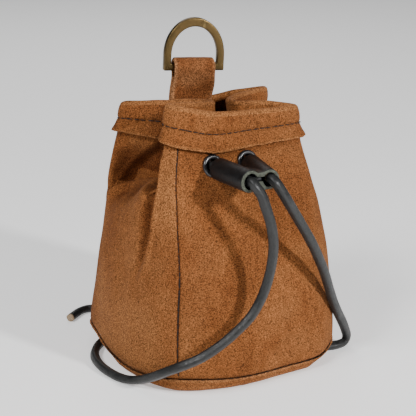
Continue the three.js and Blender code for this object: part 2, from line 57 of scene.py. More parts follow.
# Half the height of the leather between its tubes: low down, high at the mouth and at the back
WEB_LOW, WEB_FRONT, WEB_REAR = 1.9, 6.4, 4.4
VOXEL = 0.34
RIM_ROLL, LOWER_TUCK = 1.7, 1.1
WAVES = 7                                   # waves in each field of soft bumps
COLUMN_STEP = 0.66                          # between the wrap's columns of points

# Where the two eyelets sit on the front face, the way each faces, and the slider's mouths.
SEATS = [((-18.0, -33.684, 102.8), (0, -0.960, 0.280)), ((-0.2, -34.281, 102.8), (0, -0.954, 0.299))]
MOUTHS = [(-15.4, -62.38, 102.2), (-5.0, -62.38, 102.2)]
SLIDER_BACK_Y = -38.38
# How far each of its tubes is pulled aside at the mouth, and how slim it is
SLIDER_TUBES = [((0, 0, 0), 1.0), ((-0.8, 0, -0.3), 0.9)]

# Where the camera stands (degrees and metres), where it looks, and where the lights aim.
VIEW_ANGLES, VIEW_DISTANCE, VIEW_POINT = (-30, 17), 0.600, (0, 0, 0.072)
VIEW_LENS, VIEW_SHIFT = 107.06, (-0.0036, -0.0024)
LIT_POINT = (0, 0, 0.07)
# Each light's azimuth, elevation, distance, size and power.
LIGHTS = {
    "key": (19, 25, 1.1, 0.10, 11.6),
    "left": (-68, 42, 1.2, 0.35, 10),
    "top": (10, 78, 1.2, 0.6, 1.6),
    "behind": (160, 40, 1.3, 0.8, 3.5),
}
WORLD_LIGHT, FLOOR_GLOW = 0.05, 0.42

# Drawcord, points along the middle of the cord.
LEFT_CORD = [
    (-14.6, -65, 100.4), (-12.2, -66, 96.6), (-10.2, -66, 91.3), (-8, -66, 85.3), (-6.4, -66, 79),
    (-5.4, -65.5, 73), (-5, -64.5, 67), (-5.8, -62.8, 57), (-8.2, -61.2, 47.5), (-13.2, -60.2, 38.9),
    (-20.8, -59.4, 32.3), (-29, -58, 26.5), (-37, -56, 22), (-43.5, -52, 18.4), (-48.6, -45.5, 14),
    (-51.8, -36.5, 8.4), (-54.2, -27.5, 4), (-57.4, -19, 2.1), (-59.8, -9.5, 2), (-60, 2, 2),
    (-57.4, 12.6, 2), (-52.6, 20.4, 2), (-47, 26, 2), (-41.5, 32, 2), (-37, 40, 2),
    (-33, 49.5, 2), (-29.8, 59, 2), (-30, 66.5, 2), (-34.4, 69.8, 2), (-39.4, 69, 2),
    (-43.6, 66.2, 2), (-48.4, 62.3, 2),
]
RIGHT_CORD = [
    (-4.6, -65, 101.2), (-2.4, -66, 97.6), (1, -66, 92.4), (5.2, -64.5, 86.8), (9.8, -63, 80.6),
    (14.6, -61.5, 74), (19.4, -60, 67), (24, -58, 59.8), (28.4, -56, 52.6), (32.4, -53.6, 45.6),
    (37.4, -50.2, 36.6), (43.8, -46, 26.4), (50.6, -41.4, 17.6), (55.6, -38, 10.4), (58.2, -36, 5.2),
    (57.4, -35.6, 2.6), (53.6, -36.3, 2.1), (49.4, -36.2, 2.1), (45.4, -35, 2.1),
]
HELD_CORD_BACK = [
    (-15.4, -25.5, 101.6), (-10.4, -17, 100.4), (-9, -6, 99), (-12, 6, 97.6), (-14.6, 15, 96.6),
    (-9, 22.4, 96), (2, 24.2, 96), (12.4, 20.6, 96.6), (14.6, 9, 98), (10, -6, 100),
    (4.6, -19, 101.4),
]

# Outer surface of the wrap. Each section is cut at z percent of RIM_HEIGHT; the columns are the
# places below, each as x, y in percent of half of BODY_WIDTH and BODY_DEPTH.
PLACES = [
    "seam", "front_left", "front_right", "corner_right", "corner_right_side",
    "gusset_right_front", "pleat_right_front", "pleat_right_back", "gusset_right_back",
    "back_right_side", "back_right", "back", "back_left", "back_left_side",
    "gusset_left_back", "pleat_left_back", "pleat_left_front", "gusset_left_front", "fold_left",
]
SECTIONS = [
    (0, [(-78, -82.5), (-31, -100), (23, -100), (65.5, -95), (91.5, -72),
         (97, -38.5), (99, -15.5), (99, 15.5), (97, 42.5),
         (89.5, 75), (65.5, 93.5), (0, 98), (-64.5, 94), (-90.5, 77),
         (-98, 46), (-100, 15.5), (-100, -11.5), (-98, -34.5), (-92.5, -60.5)]),
    (11, [(-80, -82.5), (-31, -101), (23, -101), (65.5, -96), (92.5, -72),
          (99, -38.5), (101, -15.5), (101, 15.5), (99, 42.5),
          (90.5, 75), (65.5, 93.5), (0, 97), (-64.5, 93.5), (-90, 74.5),
          (-97.5, 46), (-100.5, 15.5), (-100.5, -11.5), (-98.5, -34.5), (-93, -60.5)]),
    (26, [(-77, -78), (-29, -96), (23, -97), (62.5, -92.5), (89.5, -71),
          (98, -38.5), (100, -15.5), (100, 15.5), (98, 40.5),
          (89.5, 70), (63.5, 88.5), (0, 92.5), (-63.5, 88.5), (-86, 67),
          (-97, 42.5), (-100, 15.5), (-100, -11.5), (-98, -32.5), (-91.5, -57.5)]),
    (43, [(-74, -76), (-29, -89.5), (21, -91.5), (59.5, -86.5), (85.5, -68.5),
          (94, -38.5), (97, -15.5), (97, 11.5), (95, 34.5),
          (86.5, 59.5), (63.5, 79), (0, 82.5), (-63.5, 79), (-84, 57.5),
          (-95, 36.5), (-97, 13.5), (-96, -11.5), (-95, -31), (-89.5, -52)]),
    (60, [(-73, -71), (-31, -79), (17.5, -81), (54, -78), (76, -65.5),
          (85.5, -42.5), (88.5, -19), (88.5, 4), (86.5, 25),
          (81.5, 49.5), (63.5, 67.5), (0, 71), (-63.5, 67.5), (-81.5, 50),
          (-84, 29), (-88.5, 6), (-91.5, -15.5), (-92.5, -32.5), (-86.5, -52)]),
    (67, [(-71.5, -67.5), (-31.5, -74), (14.5, -75.5), (52, -73.5), (71.5, -63),
          (77, -42.5), (74, -22), (71, -1), (72, 21),
          (78.5, 44), (63.5, 61.5), (0, 65.5), (-63.5, 61.5), (-81.5, 46),
          (-67.5, 25), (-68.5, 3), (-81, -17.5), (-88.5, -33.5), (-83.5, -51.5)]),
    (74, [(-70, -63.5), (-32.5, -68.5), (11.5, -70), (50, -69), (67.5, -60.5),
          (61.5, -42.5), (44, -28), (42.5, -9.5), (57.5, 15.5),
          (75.5, 37.5), (63.5, 56), (0, 59.5), (-63.5, 56), (-80, 41.5),
          (-59.5, 18.5), (-43.5, -5), (-50, -24), (-75, -37.5), (-80, -50.5)]),
    (86, [(-64.5, -57.5), (-32.5, -60), (7.5, -61), (46, -62), (60.5, -56),
          (46, -40), (16.5, -33.5), (16.5, -17.5), (42.5, 4),
          (75.5, 28.5), (67.5, 44), (0, 44.5), (-63.5, 44), (-76, 33.5),
          (-48, 5), (-22, -17.5), (-22, -33.5), (-50, -39), (-73, -47)]),
    (100, [(-56.5, -49), (-29, -52.5), (7.5, -53), (42.5, -55), (57.5, -49.5),
           (38.5, -36), (9.5, -32.5), (9.5, -17), (36.5, 3),
           (74.5, 24.5), (67.5, 36.5), (0, 31), (-54, 35.5), (-70, 28),
           (-42.5, 3), (-16.5, -17), (-16.5, -32.5), (-40.5, -35.5), (-63.5, -39)]),
]
# Height of the rim and of the base seam at each place, and depth of the hem, in percent of
# RIM_HEIGHT, SEAM_HEIGHT and HEM_DEPTH.
RIM_SHARE = [100, 97.3, 96.3, 96.2, 95.8, 96.9, 97.7, 97.7, 97.3,
             96.5, 95.4, 93.8, 94.6, 96.5, 97.7, 98.5, 98.8, 99.6, 100.4]
SEAM_SHARE = [140, 112, 104, 112, 168, 112, 100, 100, 100,
              100, 100, 100, 168, 184, 160, 92, 68, 72, 108]
HEM_SHARE = [118, 122, 107, 102, 100, 105, 110, 112, 120,
             100, 100, 105, 100, 98, 122, 115, 112, 108, 110]
# Where each side pleat has its shelf: its first and last place, then how deep it is tucked in
# and how high the shelf is, each at places. It stays shallow where the cord runs close behind it.
SHELVES = [
    ((12.8, 17.95), ([13.9, 14.6, 16.2, 17.2], [6.2, 3.4, 3.4, 6.2]),
     ([13.2, 13.7, 14, 14.4, 14.8, 15.2, 16, 17, 17.6],
      [80.3, 83.8, 86, 88.5, 90, 91, 91.5, 90.5, 89])),
    ((4.9, 8.7), ([5], [2.4]), ([5, 6, 7, 8, 8.5], [96, 94, 91, 86, 82])),
]
# The front left fold and the crease in the left lobe: heights, and the place at each, then
# about how many millimetres lie between two places there.
FOLD_RIDGE = ([42, 60, 73, 110], [17.0, 17.75, 17.95, 18.0])
LEFT_CREASE = ([80, 92, 104, 112], [13.3, 13.6, 13.9, 14.0])
FOLD_STEP, CREASE_STEP = 10.5, 11
# Relief of the wrap: height (or depth, below zero) and width of each ridge and furrow.
SHELF_SWELL, SHELF_BROW, SHELF_FLOOR = (1.4, 2.8), (1.5, 1.5), (-1.7, 2.0)
FOLD_SWELL, FOLD_FURROW = (1.2, 1.4), (-3.4, 2.2)
CREASE_SWELL, CREASE_FURROW = (0.8, 1.2), (-1.7, 2.2)
SEAM_LAP, SEAM_GROOVE, SEAM_FAR = (0.2, 1.3), (-0.75, 0.36), (0.08, 1.2)
# The base lifts where a cord is tucked under it: middle x, y, heading in degrees, from, to.
LIFTS = [(-40, 48, 143, 13.5, 34.5), (40, -42, -26, 29, 50)]

CUT_Z = np.array([z for z, _ in SECTIONS]) / 100 * RIM_HEIGHT
CUT_XY = np.array([at for _, at in SECTIONS], float) / 200 * (BODY_WIDTH, BODY_DEPTH)
RIM = np.array(RIM_SHARE) / 100 * RIM_HEIGHT
SEAM_Z = np.array(SEAM_SHARE) / 100 * SEAM_HEIGHT
HEM = np.array(HEM_SHARE) / 100 * HEM_DEPTH
COUNT = len(PLACES)


def smooth(low, high, value):
    t = np.clip((np.asarray(value, float) - low) / (high - low), 0, 1)
    return t * t * (3 - 2 * t)


def window(low, full, fading, gone, value):
    """Rises from 0 at low to 1 at full, and falls from 1 at fading to 0 at gone."""
    return smooth(low, full, value) * (1 - smooth(fading, gone, value))


# Curves

def between(p0, p1, p2, p3, w):
    """Points a share w of the way from p1 to p2 on a smooth curve through all four."""
    def gap(a, b):
        return np.maximum(((a - b) ** 2).sum(-1, keepdims=True) ** 0.25, 1e-4)
    d0, d1, d2 = gap(p0, p1), gap(p1, p2), gap(p2, p3)
    t1 = ((p1 - p0) / d0 - (p2 - p0) / (d0 + d1) + (p2 - p1) / d1) * d1
    t2 = ((p2 - p1) / d1 - (p3 - p1) / (d1 + d2) + (p3 - p2) / d2) * d1
    w2, w3 = w * w, w * w * w
    return p1 + t1 * w + (3 * (p2 - p1) - 2 * t1 - t2) * w2 + (2 * (p1 - p2) + t1 + t2) * w3


def lengths_along(points):
    """Length along the line up to each of its points."""
    return np.concatenate([[0], np.cumsum(np.linalg.norm(np.diff(points, axis=0), axis=1))])


def read_at(at, along, values):
    """Rows of three values, read off at the given lengths along a line."""
    return np.stack([np.interp(at, along, values[:, c]) for c in range(3)], 1)


def open_curve(points, step):
    """Evenly spaced points about step apart on a smooth curve through the given ones."""
    p = np.array(points, float)
    p = np.vstack([2 * p[0] - p[1], p, 2 * p[-1] - p[-2]])
    w = np.linspace(0, 1, 24, endpoint=False)[:, None]
    parts = [between(p[i], p[i + 1], p[i + 2], p[i + 3], w) for i in range(len(p) - 3)]
    fine = np.vstack([*parts, p[-2:-1]])
    along = lengths_along(fine)
    at = np.linspace(0, along[-1], int(round(along[-1] / step)) + 1)
    return read_at(at, along, fine)


def unit(v):
    v = np.asarray(v, float)
    return v / np.linalg.norm(v)


def unit_rows(rows):
    return rows / np.linalg.norm(rows, axis=1, keepdims=True)


# Pieces

def deselect():
    for o in list(bpy.context.selected_objects):
        o.select_set(False)


def pick_only(*pieces):
    """Selects only these pieces and makes the first one active."""
    deselect()
    for piece in pieces:
        piece.select_set(True)
    bpy.context.view_layer.objects.active = pieces[0]


def new_piece(name, points, faces, body, materials, replaces=()):
    """A mesh piece from points in millimetres, riding on a body."""
    mesh = bpy.data.meshes.new(name)
    mesh.from_pydata((np.asarray(points, float) * MM).tolist(), [], [list(map(int, f)) for f in faces])
    mesh.validate()
    mesh.polygons.foreach_set("use_smooth", [True] * len(mesh.polygons))
    piece = bpy.data.objects.new(name, mesh)
    bpy.context.scene.collection.objects.link(piece)
    return dress(piece, body, materials, replaces)


def dress(piece, body, materials, replaces=()):
    """Gives a piece its materials, its body and the solids it stands for."""
    piece.data.materials.clear()
    for material in materials:
        piece.data.materials.append(material)
    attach(piece, body)
    if replaces:
        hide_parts(*replaces)
    return piece


def grid_faces(rows, columns, wrap_rows=False):
    """Faces of a grid of points, closed round each row; outward when rows rise anticlockwise."""
    r, c = np.meshgrid(np.arange(rows if wrap_rows else rows - 1), np.arange(columns), indexing="ij")
    a, b = r * columns, ((r + 1) % rows) * columns
    d = (c + 1) % columns
    return np.stack([a + c, a + d, b + d, b + c], -1).reshape(-1, 4)


def capped_faces(rows, columns):
    """Faces of a grid whose ends are closed by two more points, one at each end."""
    faces = list(grid_faces(rows, columns))
    first, tail = rows * columns, (rows - 1) * columns
    for i in range(columns):
        j = (i + 1) % columns
        faces += [(first, j, i), (first + 1, tail + i, tail + j)]
    return faces


def mark(mesh, name, values):
    """Stores one value for each point, for the material to read."""
    layer = mesh.attributes.new(name, "FLOAT", "POINT")
    layer.data.foreach_set("value", np.asarray(values, np.float32).ravel())


def swept(path, section, spread):
    """Points of a tube: the section (side, up) carried along the path without twisting."""
    path = np.asarray(path, float)
    way = unit_rows(np.gradient(path, axis=0))
    side = np.cross(way[0], (0, 0, 1.0))
    if np.linalg.norm(side) < 0.1:
        side = np.cross(way[0], (1.0, 0, 0))
    side = unit(side)
    rings = []
    for p, w, grow in zip(path, way, spread):
        side = unit(side - w * (side @ w))
        up = np.cross(side, w)
        rings.append(p + grow * (section[:, :1] * side + section[:, 1:2] * up))
    return np.array(rings)


# Node helpers

def put(tree, kind, inputs=None, **settings):
    node = tree.nodes.new(kind)
    for key, value in settings.items():
        setattr(node, key, value)
    for key, value in (inputs or {}).items():
        socket = node.inputs[key]
        if isinstance(value, bpy.types.NodeSocket):
            tree.links.new(value, socket)
        else:
            socket.default_value = value
    return node


def sums(tree, operation, a, b=0.0):
    return put(tree, "ShaderNodeMath", {0: a, 1: b}, operation=operation).outputs[0]


def weighted(tree, a, share_a, b, share_b):
    return sums(tree, "ADD", sums(tree, "MULTIPLY", a, share_a), sums(tree, "MULTIPLY", b, share_b))


def remap(tree, value, from_low, from_high, to_low=0.0, to_high=1.0):
    return put(tree, "ShaderNodeMapRange", {
        "Value": value, "From Min": from_low, "From Max": from_high,
        "To Min": to_low, "To Max": to_high}).outputs["Result"]


def blend_colours(tree, share, a, b, how="MIX"):
    node = put(tree, "ShaderNodeMix", {0: share, 6: a, 7: b}, data_type="RGBA", blend_type=how)
    return node.outputs[2]


def noise(tree, vector, scale, detail=3.0, roughness=0.55, distortion=0.0):
    return put(tree, "ShaderNodeTexNoise", {
        "Vector": vector, "Scale": scale, "Detail": detail, "Roughness": roughness,
        "Distortion": distortion}).outputs[0]


def new_group(name, inputs, outputs):
    group = bpy.data.node_groups.new(name, "ShaderNodeTree")
    for label, kind, value in inputs:
        socket = group.interface.new_socket(label, in_out="INPUT", socket_type=kind)
        if value is not None:
            socket.default_value = value
    for label, kind in outputs:
        group.interface.new_socket(label, in_out="OUTPUT", socket_type=kind)
    return group, put(group, "NodeGroupInput").outputs, put(group, "NodeGroupOutput").inputs


def close(group, outputs, **values):
    for label, socket in values.items():
        group.links.new(socket, outputs[label])


FLOAT, COLOUR, VECTOR = "NodeSocketFloat", "NodeSocketColor", "NodeSocketVector"


def suede_group():
    """Napped suede: fine specks, brushed patches, paler worn edges and painted highlight, and painted
    shade in a rust colour.
    """
    group, given, out = new_group("suede nap", [
        ("Vector", VECTOR, None), ("Brown", COLOUR, None), ("Pale", COLOUR, None),
        ("Dark", COLOUR, None), ("Rust and Shade", COLOUR, None), ("Edge", FLOAT, 0.0), ("Painted Shade", FLOAT, 0.0),
    ], [("Colour", COLOUR), ("Roughness", FLOAT), ("Height", FLOAT)])
    at = given["Vector"]
    speck = noise(group, at, 1800, 3, 0.7)
    brush = put(group, "ShaderNodeMapping", {"Vector": at, "Scale": (1.0, 1.0, 0.42)}).outputs[0]
    patch = noise(group, brush, 330, 4, 0.62, 0.8)
    broad = noise(group, at, 42, 3, 0.5, 0.5)
    colour = blend_colours(group, remap(group, patch, 0.25, 0.62, 0.35, 1.0),
                           given["Dark"], given["Brown"])
    colour = blend_colours(group, remap(group, broad, 0.45, 0.75, 0.0, 0.4), colour, given["Pale"])
    colour = blend_colours(group, remap(group, broad, 0.45, 0.25, 0.0, 0.4), colour, given["Rust and Shade"])
    # Painted shade: the masked places turn the rust colour
    painted_shade = sums(group, "MULTIPLY", given["Painted Shade"], remap(group, patch, 0.2, 0.7, 1.0, 0.75))
    colour = blend_colours(group, painted_shade, colour, given["Rust and Shade"])
    # Paler where worn, and where a highlight is painted through the same Edge mask
    worn = sums(group, "MULTIPLY", given["Edge"], remap(group, speck, 0.3, 0.6, 0.35, 1.0))
    colour = blend_colours(group, worn, colour, given["Pale"])
    pepper = remap(group, speck, 0.38, 0.70, 0.40, 2.40)
    grey = put(group, "ShaderNodeCombineColor", {0: pepper, 1: pepper, 2: pepper}).outputs[0]
    colour = blend_colours(group, 1.0, colour, grey, "MULTIPLY")
    close(group, out, Colour=colour, Roughness=remap(group, speck, 0.3, 0.7, 0.86, 1.0),
          Height=weighted(group, speck, 0.7, patch, 0.6))
    return group


def grain_group():
    """Fine leather grain with scuffed streaks, for the cord and the slider."""
    group, given, out = new_group("leather grain", [
        ("Vector", VECTOR, None), ("Deep", COLOUR, None), ("Worn", COLOUR, None),
        ("Size", FLOAT, 1000.0),
    ], [("Colour", COLOUR), ("Roughness", FLOAT), ("Height", FLOAT)])
    at = given["Vector"]
    pores = put(group, "ShaderNodeTexVoronoi",
                {"Vector": at, "Scale": given["Size"]}).outputs["Distance"]
    scuff = noise(group, at, sums(group, "MULTIPLY", given["Size"], 0.35), 4, 0.65, 0.6)
    tone = weighted(group, pores, 0.35, scuff, 0.9)
    colour = blend_colours(group, remap(group, tone, 0.38, 0.85), given["Deep"], given["Worn"])
    close(group, out, Colour=colour, Roughness=remap(group, scuff, 0.3, 0.7, 0.36, 0.60),
          Height=weighted(group, pores, 0.6, scuff, 0.5))
    return group


SUEDE, GRAIN = suede_group(), grain_group()


def new_material(name, **constants):
    """A material with a Principled shader; constants go on the shader's own sockets."""
    material = bpy.data.materials.new(name)
    material.use_nodes = True
    tree = material.node_tree
    shader = tree.nodes["Principled BSDF"]
    for label, value in constants.items():
        shader.inputs[label.replace("_", " ")].default_value = value
    return material, tree, shader


def finish_shader(tree, shader, colour, roughness, height, distance, strength):
    """Joins the colour, the roughness and the bumps to the shader."""
    bump = put(tree, "ShaderNodeBump", {"Height": height, "Distance": distance, "Strength": strength})
    tree.links.new(colour, shader.inputs["Base Color"])
    tree.links.new(roughness, shader.inputs["Roughness"])
    tree.links.new(bump.outputs[0], shader.inputs["Normal"])


def object_coordinates(tree):
    return put(tree, "ShaderNodeTexCoord").outputs["Object"]


def attribute(tree, name):
    return put(tree, "ShaderNodeAttribute", attribute_name=name).outputs["Fac"]


def suede_material(name, brown, pale, dark, rust_and_shade):
    material, tree, shader = new_material(name, Sheen_Weight=0.03, Sheen_Roughness=0.4,
                                          Specular_IOR_Level=0.08, Sheen_Tint=(1.0, 0.84, 0.68, 1))
    nap = put(tree, "ShaderNodeGroup", node_tree=SUEDE)
    tree.links.new(object_coordinates(tree), nap.inputs["Vector"])
    for label, value in (("Brown", brown), ("Pale", pale), ("Dark", dark), ("Rust and Shade", rust_and_shade)):
        nap.inputs[label].default_value = (*value, 1)
    tree.links.new(attribute(tree, "edge"), nap.inputs["Edge"])
    tree.links.new(attribute(tree, "painted_shade"), nap.inputs["Painted Shade"])
    given = nap.outputs
    finish_shader(tree, shader, given["Colour"], given["Roughness"], given["Height"], 0.0006, 0.7)
    return material


def leather_material(name, deep, worn, size, bump, use_uv=False, tip=None, **constants):
    material, tree, shader = new_material(name, **constants)
    grain = put(tree, "ShaderNodeGroup", node_tree=GRAIN)
    at = put(tree, "ShaderNodeUVMap", uv_map="along").outputs[0] if use_uv else object_coordinates(tree)
    tree.links.new(at, grain.inputs["Vector"])
    grain.inputs["Deep"].default_value = (*deep, 1)
    grain.inputs["Worn"].default_value = (*worn, 1)
    grain.inputs["Size"].default_value = size
    colour = grain.outputs["Colour"]
    if tip:
        fibres = noise(tree, object_coordinates(tree), 2600, 3, 0.7)
        tan = blend_colours(tree, fibres, (tip[0] * 0.7, tip[1] * 0.68, tip[2] * 0.62, 1), (*tip, 1))
        colour = blend_colours(tree, attribute(tree, "tip"), colour, tan)
    finish_shader(tree, shader, colour, grain.outputs["Roughness"], grain.outputs["Height"], bump, 0.6)
    return material


suede = suede_material(
    "brown suede", brown=(0.188, 0.067, 0.0205), pale=(0.29, 0.124, 0.045),
    dark=(0.115, 0.036, 0.0095), rust_and_shade=(0.070, 0.019, 0.005))
base_suede = suede_material(
    "base suede", brown=(0.190, 0.070, 0.0225), pale=(0.30, 0.128, 0.048),
    dark=(0.120, 0.038, 0.0105), rust_and_shade=(0.070, 0.020, 0.006))
strap_suede = suede_material(
    "strap suede", brown=(0.148, 0.050, 0.016), pale=(0.33, 0.155, 0.068),
    dark=(0.095, 0.030, 0.009), rust_and_shade=(0.07, 0.020, 0.006))
cord_leather = leather_material(
    "cord leather", deep=(0.0034, 0.0036, 0.0037), worn=(0.0160, 0.0167, 0.0163), size=1300,
    bump=0.00024, use_uv=True, tip=(0.42, 0.30, 0.19), Specular_IOR_Level=0.5)
slider_leather = leather_material(
    "black slider leather", deep=(0.0018, 0.002, 0.0023), worn=(0.006, 0.0064, 0.007), size=1100,
    bump=0.00010, Specular_IOR_Level=0.3)
slider_edge = leather_material(
    "cut leather edge", deep=(0.026, 0.030, 0.022), worn=(0.10, 0.108, 0.082), size=2000,
    bump=0.0002, Specular_IOR_Level=0.2)
thread = leather_material(
    "black thread", deep=(0.003, 0.003, 0.003), worn=(0.012, 0.010, 0.009), size=3000,
    bump=0.0001, Specular_IOR_Level=0.3)


def brass_material():
    """Antique brass: dark patina, rubbed bright on the corners, fine casting marks."""
    material, tree, shader = new_material("antique brass", Metallic=1.0)
    at = object_coordinates(tree)
    cloud = noise(tree, at, 190, 4, 0.6, 0.5)
    fine = noise(tree, at, 1300, 3, 0.6)
    rub = remap(tree, put(tree, "ShaderNodeNewGeometry").outputs["Pointiness"], 0.49, 0.56)
    patina = blend_colours(tree, remap(tree, cloud, 0.35, 0.65),
                           (0.019, 0.0093, 0.0031, 1), (0.056, 0.029, 0.0092, 1))
    colour = blend_colours(tree, sums(tree, "MULTIPLY", rub, 0.6), patina, (0.30, 0.21, 0.09, 1))
    height = weighted(tree, fine, 1.0, cloud, 2.0)
    finish_shader(tree, shader, colour, remap(tree, cloud, 0.3, 0.7, 0.30, 0.48), height, 0.00008, 0.6)
    return material


def eyelet_material():
    """Glossy black enamel on metal, chipped a little."""
    material, tree, shader = new_material("black enamel", Metallic=0.0, Specular_IOR_Level=0.55,
                                          Coat_Weight=0.2, Coat_Roughness=0.12)
    at = object_coordinates(tree)
    cloud = noise(tree, at, 420, 3, 0.6)
    colour = blend_colours(tree, cloud, (0.008, 0.008, 0.010, 1), (0.022, 0.021, 0.022, 1))
    finish_shader(tree, shader, colour, remap(tree, cloud, 0.3, 0.7, 0.24, 0.40), cloud, 0.0001, 0.4)
    return material


brass, enamel = brass_material(), eyelet_material()


# Camera

def direction(azimuth, elevation):
    """The way from the pouch to a camera or light, from angles in degrees."""
    a, e = math.radians(azimuth), math.radians(elevation)
    return Vector((math.sin(a) * math.cos(e), -math.cos(a) * math.cos(e), math.sin(e)))


def aimed(name, data, point, azimuth, elevation, away):
    """A camera or lamp that looks at the point from that direction and distance."""
    back = direction(azimuth, elevation)
    thing = bpy.data.objects.new(name, data)
    thing.location = Vector(point) + back * away
    thing.rotation_mode = "QUATERNION"
    thing.rotation_quaternion = (-back).to_track_quat("-Z", "Y")
    bpy.context.scene.collection.objects.link(thing)
    return thing


def make_camera():
    camera = aimed("camera", bpy.data.cameras.new("camera"), VIEW_POINT, *VIEW_ANGLES, VIEW_DISTANCE)
    camera.data.sensor_width = 36
    camera.data.lens = VIEW_LENS
    camera.data.shift_x, camera.data.shift_y = VIEW_SHIFT
    camera.data.clip_start, camera.data.clip_end = 0.01, 50
    bpy.context.scene.camera = camera


make_camera()


# Cords

def lace_section():
    """Rounded square section of the leather lace."""
    turn = np.arange(LACE_SIDES) / LACE_SIDES * 2 * np.pi
    x, y = np.cos(turn), np.sin(turn)
    reach = np.abs(x) ** LACE_SQUARENESS + np.abs(y) ** LACE_SQUARENESS
    reach = CORD / 2 / reach ** (1 / LACE_SQUARENESS)
    return np.stack([x * reach, y * reach], 1)


def lace(name, path, replaced):
    """A leather lace along a path, with a cut end that shows the paler inside of the leather."""
    section = lace_section()
    steps = np.arange(len(path))
    waver = 1 + 0.012 * np.sin(steps * 0.11) + 0.01 * np.sin(steps * 0.37 + 1)
    rings = swept(path, section, waver)
    rows, sides = rings.shape[:2]
    points = np.vstack([rings.reshape(-1, 3), path[:1], path[-1:]])
    points[:, 2] = np.maximum(points[:, 2], 0)
    faces = [f[::-1] for f in capped_faces(rows, sides)]
    piece = new_piece(name, points, faces, "pouch", [cord_leather], [replaced])
    mesh = piece.data
    outward_faces(piece)
    along = lengths_along(path)
    end = along[-1]
    from_end = np.concatenate([np.repeat(end - along, sides), [end, -1]])
    mark(mesh, "tip", 1 - smooth(0.25, 0.9, from_end))
    lengthwise = np.concatenate([np.repeat(along, sides), [0, end]]) * MM
    round_it = np.concatenate([np.tile(np.arange(sides) / sides, rows), [0, 0]]) * CORD * math.pi * MM
    layer = mesh.uv_layers.new(name="along")
    for polygon in mesh.polygons:
        wraps = max(round_it[v] for v in polygon.vertices) - min(round_it[v] for v in polygon.vertices)
        for loop, v in zip(polygon.loop_indices, polygon.vertices):
            u = round_it[v]
            if wraps > CORD * 2 * MM and u < CORD * MM:
                u += CORD * math.pi * MM
            layer.data[loop].uv = (lengthwise[v] * 0.6, u)
    return piece


def outward_faces(piece):
    """Turns every face of a closed piece outwards."""
    work = bmesh.new()
    work.from_mesh(piece.data)
    bmesh.ops.recalc_face_normals(work, faces=work.faces)
    work.to_mesh(piece.data)
    work.free()


CHANNELS = []
for (seat, faces_to), mouth in zip(SEATS, MOUTHS):
    seat, mouth = np.array(seat), np.array(mouth)
    CHANNELS.append((mouth, seat, unit(seat - mouth), np.array(faces_to)))

for side, i, route in (("left", 0, LEFT_CORD), ("right", 1, RIGHT_CORD)):
    mouth, seat, inward, _ = CHANNELS[i]
    path = open_curve([mouth + inward * (1.5 - GAP), mouth - inward * 1.2, *route], 0.8)
    piece = lace(f"cord_{side}", path, f"drawcord_{side}")


def held_path():
    ends = []
    for mouth, seat, inward, normal in CHANNELS:
        reach = np.linalg.norm(seat - mouth)
        ends.append([mouth + inward * 1.5, mouth + inward * 12, mouth + inward * (reach - 7),
                     seat + normal * 2.2, seat - normal * 3.2])
    return open_curve([*ends[0], *[np.array(p) for p in HELD_CORD_BACK], *ends[1][::-1]], 1.0)


lace("cord_held", held_path(), "drawcord_held")


# Wrap and base

def place_at(heights):
    """x, y of every place at each row of heights."""
    k = np.clip(np.searchsorted(CUT_Z, heights, side="right") - 1, 0, len(CUT_Z) - 2)
    slope = np.empty_like(CUT_XY)
    slope[1:-1] = (CUT_XY[2:] - CUT_XY[:-2]) / (CUT_Z[2:] - CUT_Z[:-2])[:, None, None]
    slope[0] = (CUT_XY[1] - CUT_XY[0]) / (CUT_Z[1] - CUT_Z[0])
    slope[-1] = (CUT_XY[-1] - CUT_XY[-2]) / (CUT_Z[-1] - CUT_Z[-2])
    i = np.broadcast_to(np.arange(COUNT), heights.shape)
    a, b, sa, sb = CUT_XY[k, i], CUT_XY[k + 1, i], slope[k, i], slope[k + 1, i]
    h = (CUT_Z[k + 1] - CUT_Z[k])[..., None]
    t = (heights[..., None] - CUT_Z[k][..., None]) / h
    t2, t3 = t * t, t * t * t
    return ((2 * t3 - 3 * t2 + 1) * a + (t3 - 2 * t2 + t) * h * sa
            + (3 * t2 - 2 * t3) * b + (t3 - t2) * h * sb)


def columns():
    """Segment and share of each column round the wrap: evenly spaced, closer at the seam."""
    middle = CUT_XY[4]
    segment, share = [], []
    for i in range(COUNT):
        n = max(10, int(round(np.linalg.norm(middle[(i + 1) % COUNT] - middle[i]) / COLUMN_STEP)))
        w = np.arange(n) / n
        if i == 0:
            w = w ** 1.5
        if i == COUNT - 1:
            w = 1 - (1 - w) ** 1.5
        segment += [i] * n
        share += list(w)
    return np.array(segment), np.array(share)


SEGMENT, SHARE = columns()
AROUND = len(SEGMENT)
PLACE_COLUMN = SEGMENT + SHARE


def loops(heights):
    """Rows of points round the wrap, for rows of heights at the places."""
    heights = np.atleast_2d(heights)
    p = np.concatenate([place_at(heights), heights[..., None]], -1)
    take = [p[:, (SEGMENT + k) % COUNT] for k in (-1, 0, 1, 2)]
    return between(*take, SHARE[None, :, None])


def outward(rings):
    a, b = np.roll(rings, 1, 1), np.roll(rings, -1, 1)
    out = np.stack([b[..., 1] - a[..., 1], a[..., 0] - b[..., 0], np.zeros(rings.shape[:2])], -1)
    return out / np.maximum(np.linalg.norm(out, axis=-1, keepdims=True), 1e-9)


def lumps(points, size, seed):
    """Smooth seeded bumps of about that size, from -1 to 1."""
    pick = np.random.default_rng(seed)
    total = 0
    for _ in range(WAVES):
        way = unit(pick.normal(size=3)) * 2 * np.pi / (size * pick.uniform(0.75, 1.35))
        total = total + np.sin(points @ way + pick.uniform(0, 2 * np.pi))
    return total / math.sqrt(WAVES) / 1.6


def spread_share(values):
    """A value per place, carried smoothly round the columns."""
    nxt = np.roll(values, -1)
    return values[SEGMENT] + (nxt[SEGMENT] - values[SEGMENT]) * smooth(0, 1, SHARE)


